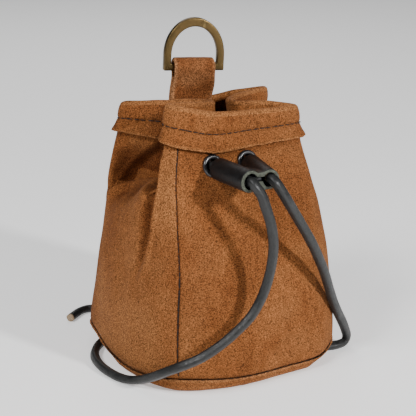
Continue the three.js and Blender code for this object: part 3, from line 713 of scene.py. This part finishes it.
def distance_from(place):
    """Signed distance in millimetres along the loop at mid height from a place."""
    ring = loops(np.full(COUNT, RIM_HEIGHT * 0.45))[0]
    along = lengths_along(ring)
    total = along[-1] + np.linalg.norm(ring[0] - ring[-1])
    here = np.interp(PLACES.index(place), PLACE_COLUMN, along)
    return (along - here + total / 2) % total - total / 2


def bell(distance, width):
    return np.exp(-(distance / width) ** 2)


def raised(distance, form):
    """A rounded ridge, or a furrow, of that height and width."""
    return form[0] * bell(distance, form[1])


def wrap_rows():
    """Rows up the wall, round the hem and down inside: heights at the places, shift outwards,
    rise, and what kind of row it is."""
    bottom, top = SEAM_Z + GAP, RIM - HEM
    wall = np.concatenate([np.linspace(0, 0.03, 6)[:-1], np.linspace(0.03, 0.58, 44)[:-1],
                           np.linspace(0.58, 0.86, 44), np.linspace(0.875, 0.97, 9)])
    rows = [(bottom + (top - bottom) * t, -LOWER_TUCK * (1 - min(1, t / 0.028)) ** 2, 0.0, "wall")
            for t in wall]
    # Up behind the hem and out round its cut edge: share of the hem's depth, shift, rise, kind
    turn_out = [
        (0.94, 0.02, 0.0, "behind"), (0.86, 0.12, 0.0, "behind"), (0.90, 0.35, 0.0, "behind"),
        (0.96, 0.6, 0.0, "lip"),
        (1.0, HEM_FLARE * 0.75, -0.15, "lip"),
        (1.0, HEM_FLARE * 0.8 + HEM_LEATHER * 0.5, -0.2, "lip"),
        (1.0, HEM_FLARE + HEM_LEATHER * 0.85, 0.1, "lip"),
        (0.975, HEM_FLARE + HEM_LEATHER, 0.0, "lip"),
        (0.94, HEM_FLARE * 0.92 + HEM_LEATHER, 0.0, "hem"),
    ]
    rows += [(RIM - HEM * share, shift, rise, kind) for share, shift, rise, kind in turn_out]
    for share in np.linspace(0.90, 0.2, 26):
        flare = HEM_FLARE * 0.9 * smooth(0.55, 1.0, share) ** 1.1
        rows.append((RIM - HEM * share, HEM_LEATHER + flare, 0.0, "hem"))
    rows += [(RIM - depth, HEM_LEATHER, 0.0, "hem") for depth in (2.4, 2.0)]
    for turn in np.linspace(0, 180, 15):
        a = math.radians(turn)
        depth = RIM_ROLL - RIM_ROLL * math.sin(a) ** 0.9
        rows.append((RIM - depth, -0.1 + RIM_ROLL * math.cos(a), 0.0, "rim"))
    rows += [(RIM - depth, -WALL, 0.0, "inside") for depth in (2.0, 2.6, 3.6, 5, 7, 9)]
    rows += [(RIM - HEM * share, -WALL, 0.0, "inside") for share in (0.75, 0.88)]
    rows += [(RIM - HEM * share, -WALL, 0.0, "deep inside") for share in (1.0, 1.1)]
    rows += [(bottom + (top - bottom) * t, -WALL, 0.0, "deep inside")
             for t in np.linspace(0.9, 0, 15)]
    heights, *others = (np.array(part) for part in zip(*rows))
    return heights, *(part[:, None] for part in others)


def add_shelves(rings, shift, rise, shade):
    """A sharp shelf in each side pleat, where the gusset turns in; shade is dark above it."""
    z, at = rings[..., 2], PLACE_COLUMN[None, :]
    for (first, last), depths, brows in SHELVES:
        part = window(first, first + 0.9, last - 0.5, last, at)
        brow = np.interp(PLACE_COLUMN, *brows)[None, :] + 0.6 * lumps(rings * (1, 1, 0), 9, 21)
        above = z - brow
        tuck = window(-0.3, 1.6, 7, 27, above) * (1 - smooth(101, 110, z))
        shift += part * (raised(above + 2.0, SHELF_SWELL) - np.interp(at, *depths) * tuck)
        rise += part * (raised(above + 0.4, SHELF_BROW) + raised(above - 2.2, SHELF_FLOOR))
        np.maximum(shade, part * window(-0.5, 0.5, 4, 24, above), out=shade)


def add_folds(rings, shift, shade):
    """The ridge and furrow of the front left fold, and the crease in the left lobe."""
    z, at = rings[..., 2], PLACE_COLUMN[None, :]
    ridge = (at - np.interp(z, *FOLD_RIDGE)) * FOLD_STEP
    upper = window(44, 68, 104, 112, z)
    shift += upper * (raised(ridge, FOLD_SWELL) + raised(ridge + 3.6, FOLD_FURROW))
    np.maximum(shade, upper * 0.75 * bell(ridge + 3.2, 2.6) * smooth(60, 80, z), out=shade)
    crease = (at - np.interp(z, *LEFT_CREASE)) * CREASE_STEP
    high = window(82, 88, 110, 116, z)
    shift += high * (raised(crease, CREASE_SWELL) + raised(crease - 3.2, CREASE_FURROW))


def make_wrap():
    """The wrap with its pleats, folds, seam and turned hem, its worn pale edges, and where highlight and
    shade are painted on its nap.
    """
    heights, shift, rise, kinds = wrap_rows()
    rings = loops(heights)
    out = outward(rings)
    shift = shift + np.zeros((1, AROUND))
    rise = rise + np.zeros((1, AROUND))
    wall, behind, lip, hem_face, rim, inside, deep_inside = (
        kinds == kind for kind in ("wall", "behind", "lip", "hem", "rim", "inside", "deep inside"))
    outer = wall | behind | lip | hem_face | rim
    edge, shade = np.zeros(shift.shape), np.zeros(shift.shape)
    z, at = rings[..., 2], PLACE_COLUMN[None, :]

    # Soft hollows and swells of the wall, then its pleats and folds
    body_part = smooth(SEAM_HEIGHT, 25, z) * (1 - 0.5 * smooth(95, 120, z))
    soft = 0.5 * lumps(rings * (1, 1, 0.55), 27, 3) + 0.16 * lumps(rings * (1, 1, 0.5), 11, 5)
    shift += soft * body_part
    add_shelves(rings, shift, rise, shade)
    add_folds(rings, shift, shade)

    # Vertical seam: the left panel's edge stands over a sharp groove
    side = distance_from("seam")[None, :]
    along_seam = smooth(0, 4, z - spread_share(SEAM_Z + GAP)[None, :])
    seam_shape = raised(side + 1.4, SEAM_LAP) + raised(side - 0.12, SEAM_GROOVE)
    seam_shape += raised(side - 1.8, SEAM_FAR)
    shift += seam_shape * along_seam * wall
    shift += 0.12 * seam_shape * (lip | hem_face)

    # Stitch line of the hem, and its uneven cut edge
    depth = (spread_share(RIM)[None, :] - z) / spread_share(HEM)[None, :]
    near_edge = lip * 1.0 + hem_face * smooth(0.75, 0.95, depth)
    pucker = 0.5 + 0.5 * np.cos(np.cumsum(np.full(AROUND, COLUMN_STEP)) / 3.5 * 2 * np.pi)[None, :]
    valley = bell(depth - 0.55, 0.055) * (0.42 + 0.25 * pucker)
    swell = 0.28 * bell(depth - 0.3, 0.2) + 0.15 * bell(depth - 0.78, 0.16)
    shift += (swell - valley) * hem_face
    ragged = 0.22 * lumps(rings, 1.9, 11) + 0.16 * lumps(rings, 5, 12) + 0.3 * lumps(rings, 24, 13)
    rise += ragged * (lip * 1.0 + hem_face * smooth(0.8, 0.95, depth))
    shift += (0.2 * lumps(rings, 2.6, 14) + 0.22 * lumps(rings, 12, 15) + 0.15) * near_edge
    shift += 0.2 * lumps(rings, 9, 16) * (hem_face | rim)
    rise += 0.28 * lumps(rings * (1, 1, 0), 14, 17) * (rim | inside)

    points = rings + out * shift[..., None]
    points[..., 2] += rise
    points[..., 2] = np.maximum(points[..., 2], GAP)

    # Paler: painted highlight between fold and seam and low on the left, and the hem's edges worn paler
    edge += 0.4 * smooth(17.92, 18.05, at) * smooth(55, 85, z) * wall
    edge += 0.5 * window(13.2, 14.5, 17.8, 18.8, at) * smooth(64, 20, z) * wall
    edge += lip * 0.6 + hem_face * 0.3 * smooth(0.9, 0.98, depth)
    edge += 0.5 * rim

    # Painted shade: in the folds, from the shape round each point, inside the pouch, and under the hem
    painted_shade = np.zeros(shift.shape)
    for reach in (10, 22):
        mean = (np.roll(points, reach, 1) + np.roll(points, -reach, 1)) / 2
        painted_shade += np.clip(((mean - points) * out).sum(-1) / (reach * 0.14), 0, 1) * 0.5
    painted_shade = np.where(inside | deep_inside, 0.2, painted_shade)
    painted_shade += 0.75 * smooth(1.16, 1.03, depth) * (wall | behind)
    painted_shade = np.maximum(painted_shade, shade * outer)
    # Painted shade on the hem where it turns into each side pleat, and in the groove of the seam
    tucked = window(13.35, 14.15, 17.5, 17.95, at) + 0.6 * window(5.0, 5.8, 7.6, 8.2, at)
    painted_shade = np.maximum(painted_shade, 0.85 * tucked * (lip | hem_face))
    painted_shade = np.maximum(painted_shade, 0.4 * tucked * rim)
    painted_shade = np.maximum(painted_shade, 0.9 * bell(side - 0.12, 0.55) * along_seam * wall)
    # Painted shade in a broad band on both sides of the seam, and high up on the right of the front
    painted_shade += 0.34 * bell(side - 6, 15) * window(12, 40, 62, 88, z) * wall
    painted_shade += 0.2 * window(1.2, 2.4, 4.6, 5.6, at) * smooth(55, 100, z) * outer
    piece = new_piece("pouch_body", points.reshape(-1, 3), grid_faces(len(kinds), AROUND, True), "pouch",
                      [suede], ["body_wrap"])
    mark(piece.data, "edge", np.clip(edge, 0, 1))
    mark(piece.data, "painted_shade", np.clip(painted_shade, 0, 1))


def lift_at(x, y):
    """How far the base is lifted off the floor there."""
    lift = 0
    for px, py, heading, start, end in LIFTS:
        a = math.radians(heading)
        away_x, away_y = x - px / 200 * BODY_WIDTH, y - py / 200 * BODY_DEPTH
        along = away_x * math.cos(a) + away_y * math.sin(a)
        share = smooth(start / 200 * BODY_WIDTH, end / 200 * BODY_WIDTH, along)
        lift = np.maximum(lift, (CORD + CORD_UNDER) * share)
    return lift


def make_base():
    """The base panel: its rounded edge turned up to the seam, and its floor inside."""
    edge_ring = loops(SEAM_Z)[0]
    out = outward(edge_ring[None])[0]

    def ring_at(inset, part):
        q = edge_ring - out * inset
        own = edge_ring[:, 2] - lift_at(edge_ring[:, 0], edge_ring[:, 1])
        q[:, 2] = lift_at(q[:, 0], q[:, 1]) + own * part
        return q

    def shrunk(ring, share, height):
        q = ring * share
        q[:, 2] = lift_at(q[:, 0], q[:, 1]) + height
        return q

    under, within = ring_at(EDGE_RADIUS, 0), ring_at(EDGE_RADIUS + BASE_LEATHER, 0)
    rows = [shrunk(under, share, 0) for share in (0.03, 0.15, 0.3, 0.45, 0.58, 0.7, 0.8, 0.88, 0.95)]
    rows.append(under)
    for turn in (15, 30, 42, 54, 65, 74, 82):
        a = math.radians(turn)
        rows.append(ring_at(EDGE_RADIUS * (1 - math.sin(a)), 1 - math.cos(a)))
    start = len(rows)
    rows += [ring_at(inset, part) for inset, part in (
        (-0.25, 0.97), (0.15, 1.04), (0.9, 1.0), (WALL, 0.98), (WALL + 0.9, 0.75))]
    rows += [shrunk(within, share, BASE_LEATHER)
             for share in (1, 0.9, 0.75, 0.6, 0.45, 0.3, 0.15, 0.03)]
    points = np.array(rows)
    soft = 0.16 * lumps(points, 13, 31) + 0.12 * lumps(points, 5, 32)
    skirt = np.zeros(len(rows))
    skirt[10:start + 2] = 1
    points += out[None] * (soft * skirt[:, None])[..., None]
    points[..., 2] = np.maximum(points[..., 2], 0)
    n = AROUND
    points = np.vstack([points.reshape(-1, 3), [(0, 0, 0), (0, 0, BASE_LEATHER)]])
    piece = new_piece("pouch_base", points, capped_faces(len(rows), n), "pouch",
                      [base_suede], ["base_panel"])
    edge = np.zeros(len(rows))
    edge[start - 1:start + 3] = (0.3, 0.7, 0.8, 0.4)
    edge[10:14] = 0.25
    mark(piece.data, "edge", np.concatenate([np.repeat(edge, n), [0, 0]]))
    # Painted shade on the base's floor inside the pouch
    inner = np.arange(len(rows)) > start + 3
    mark(piece.data, "painted_shade", np.concatenate([np.repeat(inner * 0.5, n), [0, 0.5]]))


make_wrap()
make_base()


# Stitches

STITCH_SIDES, STITCH_STEPS = 6, 7


def stitch_row(name, line, normals, length, every, thick, proud, closed=True):
    """Stitches of one thread along a line: each dips into the leather at both ends."""
    if closed:
        line, normals = np.vstack([line, line[:1]]), np.vstack([normals, normals[:1]])
    along = lengths_along(line)
    count = int(along[-1] / every)
    turn = np.arange(STITCH_SIDES) / STITCH_SIDES * 2 * np.pi
    points, faces = [], []
    pick = np.random.default_rng(len(line))
    for k in range(count):
        begin = k * every + pick.uniform(-0.12, 0.12) * every
        size = length * pick.uniform(0.86, 1.08)
        t = np.linspace(0, 1, STITCH_STEPS)
        at = begin + t * size
        spine, up = read_at(at, along, line), unit_rows(read_at(at, along, normals))
        spine = spine + up * (proud * np.sin(np.pi * t) - thick * 0.75 * (2 * t - 1) ** 6)[:, None]
        side = unit_rows(np.cross(unit_rows(np.gradient(spine, axis=0)), up))
        radius = thick / 2 * (0.55 + 0.45 * np.sin(np.pi * t) ** 0.5)
        base = len(points)
        for p, s, u, r in zip(spine, side, up, radius):
            for a in turn:
                points.append(p + r * (math.cos(a) * s + math.sin(a) * u))
        last = base + (STITCH_STEPS - 1) * STITCH_SIDES
        for low in range(base, last, STITCH_SIDES):
            for j in range(STITCH_SIDES):
                a, b = low + j, low + (j + 1) % STITCH_SIDES
                faces.append((a, b, b + STITCH_SIDES, a + STITCH_SIDES))
        faces.append(tuple(base + j for j in range(STITCH_SIDES))[::-1])
        faces.append(tuple(last + j for j in range(STITCH_SIDES)))
    outward_faces(new_piece(name, points, faces, "pouch", [thread]))


def line_round(heights, shift):
    """Points and outward ways of a line round the wrap, shifted outwards."""
    ring = loops(heights)
    out = outward(ring)
    return (ring + out * shift)[0], out[0]


def place_stitches():
    hem_seam = RIM - HEM * 0.55
    line, out = line_round(hem_seam, HEM_LEATHER - 0.12)
    stitch_row("thread_hem", line, out, length=3.0, every=3.4, thick=0.44, proud=0.05)
    line, out = line_round(hem_seam, -WALL - 0.05)
    stitch_row("thread_hem_inside", line, -out, length=2.8, every=3.4, thick=0.5, proud=0.08)
    low, high = (SEAM_Z + GAP)[0] + 1.5, (RIM - HEM)[0] - 0.5
    heights = np.linspace(low, high, 90)
    rings = loops(np.repeat(heights[:, None], COUNT, 1))
    column = int(np.argmin(np.abs(distance_from("seam") - 0.15)))
    out = outward(rings)[:, column]
    stitch_row("thread_side", rings[:, column] - out * 0.36, out, length=3.0, every=2.75,
               thick=0.62, proud=0.05, closed=False)
    line, out = line_round(SEAM_Z + GAP * 0.5, -0.45)
    stitch_row("thread_base", line, out, length=2.8, every=3.3, thick=0.45, proud=0.0)


place_stitches()


# Belt strap

def make_strap():
    """The strap up the inside of the back, over the bar of the ring and down again."""
    back = PLACES.index("back")
    back_rim = RIM[back]
    half = STRAP_LEATHER + 0.1
    wall_y = lambda z: place_at(np.full((1, COUNT), z))[0, back, 1] - WALL - GAP
    bar_y = wall_y(back_rim) - half
    bar_z = back_rim + BAR_RISE
    hole = RING_WIRE / 2 + 0.65
    eye = hole + STRAP_LEATHER
    foot = back_rim - STRAP_FOOT
    mid = hole + STRAP_LEATHER / 2
    back_y = lambda z: max(bar_y + half, min(wall_y(z), bar_y + half + (back_rim + 1 - z) * 0.55))
    neck_z = bar_z - eye - 0.6
    # Middle line of the leather in the plane across the bar: up the back, over, down the front
    line = []
    for z in np.linspace(foot, neck_z - 7, 20):
        line.append((back_y(z) - STRAP_LEATHER / 2, z))
    for a in np.linspace(-14, 194, 31):
        r = math.radians(a)
        line.append((bar_y + math.cos(r) * mid, bar_z + math.sin(r) * mid))
    for z in np.linspace(neck_z - 7, foot, 20):
        line.append((back_y(z) - half * 2 + STRAP_LEATHER / 2, z))
    line = open_curve([(0, *p) for p in line], 0.75)[:, 1:]
    way = unit_rows(np.gradient(line, axis=0))
    normal = np.stack([way[:, 1], -way[:, 0]], 1)     # away from the bar
    across = np.linspace(-1, 1, 33)
    thick = STRAP_LEATHER / 2
    section = [(x, 1) for x in across] + [(1.045, 0.55), (1.05, 0), (1.045, -0.55)]
    section += [(x, -1) for x in across[::-1]] + [(-1.045, -0.55), (-1.05, 0), (-1.045, 0.55)]
    section = np.array(section)
    rows = []
    for (y, z), (ny, nz) in zip(line, normal):
        flare = 0.975 + 0.10 * (1 - smooth(back_rim + 3, neck_z + 2, z))
        x = section[:, 0] * (STRAP_WIDTH / 2 - 0.45) * flare
        crease = 0.1 * bell(z - back_rim - 5.4, 0.8)
        h = section[:, 1] * thick * (1 - 0.12 * np.abs(section[:, 0]) ** 6)
        rows.append(np.stack([x, y + ny * (h - crease * (section[:, 1] > 0.9)), z + nz * h], 1))
    points = np.array(rows)
    points += 0.16 * lumps(points, 6, 41)[..., None] * (0.3, 1, 0.3)
    points[..., 0] += 0.14 * lumps(points, 9, 42)
    up = smooth(back_rim, bar_z - eye, points[..., 2])
    angle = math.radians(STRAP_TURN) * up
    x, y = points[..., 0].copy(), points[..., 1] - bar_y
    lean = STRAP_X - STRAP_LEAN * (1 - up)
    points[..., 0] = lean + x * np.cos(angle) - y * np.sin(angle)
    points[..., 1] = bar_y + x * np.sin(angle) + y * np.cos(angle)
    points[..., 2] -= x * math.tan(math.radians(STRAP_TILT)) * up
    n = len(section)
    faces = list(grid_faces(len(rows), n))
    faces.append(tuple(range(n))[::-1])
    faces.append(tuple((len(rows) - 1) * n + j for j in range(n)))
    piece = new_piece("strap_loop", points.reshape(-1, 3), faces, "pouch", [strap_suede],
                      ["belt_strap"])
    outward_faces(piece)
    side = np.abs(section[:, 0]) > 1.0
    edge = np.where(side, 1.0, smooth(0.86, 1.0, np.abs(section[:, 0])) * 0.55)
    mark(piece.data, "edge", np.tile(edge, len(rows)))
    # Painted shade where the strap runs down inside, below the back's rim
    deep = smooth(back_rim + 1, back_rim - 6, line[:, 1]) * 0.6
    mark(piece.data, "painted_shade", np.repeat(deep, n))
    return bar_y, bar_z


BAR_Y, BAR_Z = make_strap()


# Hard pieces, modelled with edit operators

def faces_where(test):
    """In edit mode: selects only the faces whose middle and normal pass the test."""
    piece = bpy.context.edit_object
    work = bmesh.from_edit_mesh(piece.data)
    bpy.ops.mesh.select_all(action="DESELECT")
    for face in work.faces:
        face.select = bool(test(face.calc_center_median(), face.normal))
    work.select_flush_mode()
    bmesh.update_edit_mesh(piece.data)


def start_primitive(operator, **how):
    deselect()
    operator(**how)
    piece = bpy.context.active_object
    bpy.ops.object.mode_set(mode="EDIT")
    bpy.ops.mesh.select_mode(type="FACE")
    return piece


def end_edit():
    bpy.ops.object.mode_set(mode="OBJECT")


def extrude(x, y, z):
    bpy.ops.mesh.extrude_region_move(TRANSFORM_OT_translate={"value": (x, y, z)})


def placed_along(way, at):
    """Turns the z axis to that way and moves the origin to a point in millimetres."""
    return Matrix.Translation(at * MM) @ way.to_track_quat("Z", "Y").to_matrix().to_4x4()


def settle(piece, matrix):
    """Puts the piece in its place with its object at the origin."""
    pick_only(piece)
    piece.data.transform(matrix)
    piece.data.update()


def apply_modifier(piece, kind, **how):
    pick_only(piece)
    modifier = piece.modifiers.new(kind.lower(), kind)
    for key, value in how.items():
        setattr(modifier, key, value)
    bpy.ops.object.modifier_apply(modifier=modifier.name)


def make_ring():
    """The ring, drawn from a square bar: bent up, over and down, then closed."""
    w = RING_WIRE * MM
    half = (RING_INNER_WIDTH + RING_WIRE) / 2 * MM
    arm = RING_ARM * MM
    top = (RING_HEIGHT - RING_WIRE) * MM
    piece = start_primitive(bpy.ops.mesh.primitive_cube_add, size=w, location=(0, 0, 0))
    piece.name = "brass_ring"
    inner = half - w / 2
    for side in (-1, 1):
        faces_where(lambda c, n: n.x * side > 0.9)
        bpy.ops.transform.translate(value=(side * (inner - w / 2), 0, 0))
        extrude(side * w, 0, 0)
    faces_where(lambda c, n: n.z > 0.9 and c.x > inner)
    extrude(0, 0, arm - w / 2)
    bpy.ops.mesh.spin(steps=44, angle=math.pi, center=(0, 0, arm), axis=(0, 1, 0))
    extrude(0, 0, w / 2 - arm)
    faces_where(lambda c, n: c.x < -inner and abs(c.z - w / 2) < 1e-5 and abs(n.z) > 0.9)
    bpy.ops.mesh.delete(type="FACE")
    bpy.ops.mesh.select_all(action="SELECT")
    bpy.ops.mesh.remove_doubles(threshold=1e-5)
    bpy.ops.mesh.normals_make_consistent(inside=False)
    faces_where(lambda c, n: c.z > arm + 1e-6)
    bpy.ops.transform.resize(value=(1, 1, (top - arm) / half), center_override=(0, 0, arm))
    end_edit()
    apply_modifier(piece, "BEVEL", width=0.55 * MM, segments=3, limit_method="ANGLE",
                   angle_limit=math.radians(50))
    pick_only(piece)
    bpy.ops.object.shade_smooth_by_angle(angle=math.radians(40))
    turn = Matrix.Rotation(math.radians(STRAP_TURN), 4, "Z")
    tilt = Matrix.Rotation(math.radians(STRAP_TILT), 4, "Y")
    settle(piece, Matrix.Translation(Vector((STRAP_X, BAR_Y, BAR_Z)) * MM) @ (turn @ tilt))
    dress(piece, "ring", [brass], ["d_ring"])


def turned(name, profile, sides, matrix, material, replaced):
    """A turned piece: a circle extruded and resized through a closed profile of radius and height."""
    r0, z0 = profile[0]
    piece = start_primitive(bpy.ops.mesh.primitive_circle_add, vertices=sides, radius=r0 * MM,
                            fill_type="NOTHING", location=(0, 0, z0 * MM))
    piece.name = name
    bpy.ops.mesh.select_mode(type="EDGE")
    bpy.ops.mesh.select_all(action="SELECT")
    for (ra, za), (rb, zb) in zip(profile, profile[1:]):
        bpy.ops.mesh.extrude_edges_move(TRANSFORM_OT_translate={"value": (0, 0, (zb - za) * MM)})
        bpy.ops.transform.resize(value=(rb / ra, rb / ra, 1), center_override=(0, 0, zb * MM))
    bpy.ops.mesh.select_all(action="SELECT")
    bpy.ops.mesh.remove_doubles(threshold=1e-6)
    bpy.ops.mesh.normals_make_consistent(inside=False)
    end_edit()
    place = piece.location.copy()
    piece.location = (0, 0, 0)
    settle(piece, matrix @ Matrix.Translation(place))
    bpy.ops.object.shade_smooth_by_angle(angle=math.radians(45))
    dress(piece, "pouch", [material], replaced)


def make_eyelets():
    hole, barrel, outer = EYELET_HOLE / 2, EYELET_BARREL / 2, EYELET_OUTER / 2
    back = -WALL - GAP * 2 - 0.5
    profile = [(hole, back - 0.3), (hole + 0.2, back - 0.5), (barrel + 0.7, back - 0.5),
               (barrel + 0.9, back - 0.25), (barrel + 0.8, back), (barrel, back),
               (barrel, GAP + 0.2), (outer - 0.25, GAP + 0.1)]
    low, high = GAP + 0.1, GAP + 0.35 + EYELET_PROUD
    middle, reach = (outer + hole) / 2, (outer - hole) / 2
    for turn in np.linspace(0, 180, 13):
        a = math.radians(turn)
        profile.append((middle + math.cos(a) * reach,
                        low + 0.25 + (high - low - 0.25) * math.sin(a) ** 0.8))
    profile += [(hole, low - 0.4), (hole, back - 0.3)]
    for side, (seat, faces_to) in zip(("left", "right"), SEATS):
        turned(f"eyelet_{side}_black", profile, 56, placed_along(Vector(faces_to), Vector(seat)),
               enamel, [f"eyelet_{side}"])


def bar_between(a, b, radius, sides=48):
    """Cylinder from a to b, in millimetres."""
    a, b = Vector(a), Vector(b)
    deselect()
    bpy.ops.mesh.primitive_cylinder_add(vertices=sides, radius=radius * MM, depth=(b - a).length * MM)
    piece = bpy.context.active_object
    piece.data.transform(placed_along(b - a, (a + b) / 2))
    return piece


def cut_away(piece, tool):
    apply_modifier(piece, "BOOLEAN", operation="DIFFERENCE", object=tool, solver="EXACT")
    bpy.data.objects.remove(tool)


def make_slider():
    """Two leather channels drawn together towards the mouth, wrapped from one thick strip."""
    parts, lines = [], []
    for (mouth, _, inward, _), (drawn_in, slim) in zip(CHANNELS, SLIDER_TUBES):
        back = mouth + inward * ((SLIDER_BACK_Y - mouth[1]) / inward[1])
        mouth = mouth + drawn_in
        lines.append((mouth, back, slim))
        parts.append(bar_between(back, mouth, SLIDER_OUTER / 2 * slim))

    low = MOUTHS[0][2] - SLIDER_LOW
    deselect()
    bpy.ops.mesh.primitive_cube_add(size=1)
    web = bpy.context.active_object
    front, rear = MOUTHS[0][1] + 0.05, SLIDER_BACK_Y - 5
    for v in web.data.vertices:
        y = front if v.co.y < 0 else rear
        start, end, _ = lines[0 if v.co.x < 0 else 1]
        x = (start + (end - start) * ((y - start[1]) / (end[1] - start[1])))[0]
        tall = -WEB_LOW if v.co.z < 0 else (WEB_FRONT if v.co.y < 0 else WEB_REAR)
        v.co = Vector((x, y, low + tall)) * MM
    parts.append(web)
    pick_only(*parts)
    bpy.ops.object.join()
    piece = parts[0]
    piece.name = "slider_leather"
    apply_modifier(piece, "REMESH", mode="VOXEL", voxel_size=VOXEL * MM)
    apply_modifier(piece, "SMOOTH", factor=0.7, iterations=9)
    for mouth, back, slim in lines:
        way = unit(mouth - back) * 4
        cut_away(piece, bar_between(back - way, mouth + way, (SLIDER_CHANNEL / 2 + 0.3) * slim, 56))
    depth = MOUTHS[0][1] + SLOT_DEPTH
    slot = bar_between((-13, depth, low + 3.5), (-7.5, depth, low + 3.2), SLOT_RADIUS, 24)
    cut_away(piece, slot)
    dress(piece, "pouch", [slider_leather, slider_edge], ["cord_slider"])
    # The paler cut edge is what faces the front at the mouth
    for polygon in piece.data.polygons:
        if polygon.normal.y < -0.55 and polygon.center.y < (MOUTHS[0][1] + 1.4) * MM:
            polygon.material_index = 1
    pick_only(piece)
    bpy.ops.object.shade_smooth_by_angle(angle=math.radians(38))


make_ring()
make_eyelets()
make_slider()


def open_eyelet_holes():
    piece = bpy.data.objects["pouch_body"]
    for seat, faces_to in SEATS:
        seat, away = np.array(seat), np.array(faces_to) * 7.0
        cut_away(piece, bar_between(seat - away, seat + away, EYELET_BARREL / 2 - 0.25, 40))


open_eyelet_holes()


# Floor and light

def make_floor():
    bpy.ops.mesh.primitive_plane_add(size=8, location=(0, 1.5, 0))
    floor = bpy.context.active_object
    floor.name = "floor"
    material, tree, shader = new_material("pale floor", Roughness=0.9, Specular_IOR_Level=0.1,
                                          Emission_Color=(1, 1, 1, 1), Emission_Strength=FLOOR_GLOW)
    cloud = noise(tree, object_coordinates(tree), 3.0, 2, 0.5)
    tree.links.new(blend_colours(tree, cloud, (0.93, 0.93, 0.93, 1), (0.95, 0.95, 0.95, 1)),
                   shader.inputs["Base Color"])
    floor.data.materials.append(material)


def area_light(name, azimuth, elevation, away, size, power):
    """A round soft light aimed at the pouch's middle, from a direction in degrees."""
    light = bpy.data.lights.new(name, "AREA")
    light.shape, light.size, light.energy = "DISK", size, power
    aimed(name, light, LIT_POINT, azimuth, elevation, away)


def make_light():
    world = bpy.data.worlds.new("studio")
    world.use_nodes = True
    sky = world.node_tree.nodes["Background"].inputs
    sky["Color"].default_value, sky["Strength"].default_value = (1, 1, 1, 1), WORLD_LIGHT
    bpy.context.scene.world = world
    for name, how in LIGHTS.items():
        area_light(name, *how)


make_floor()
make_light()
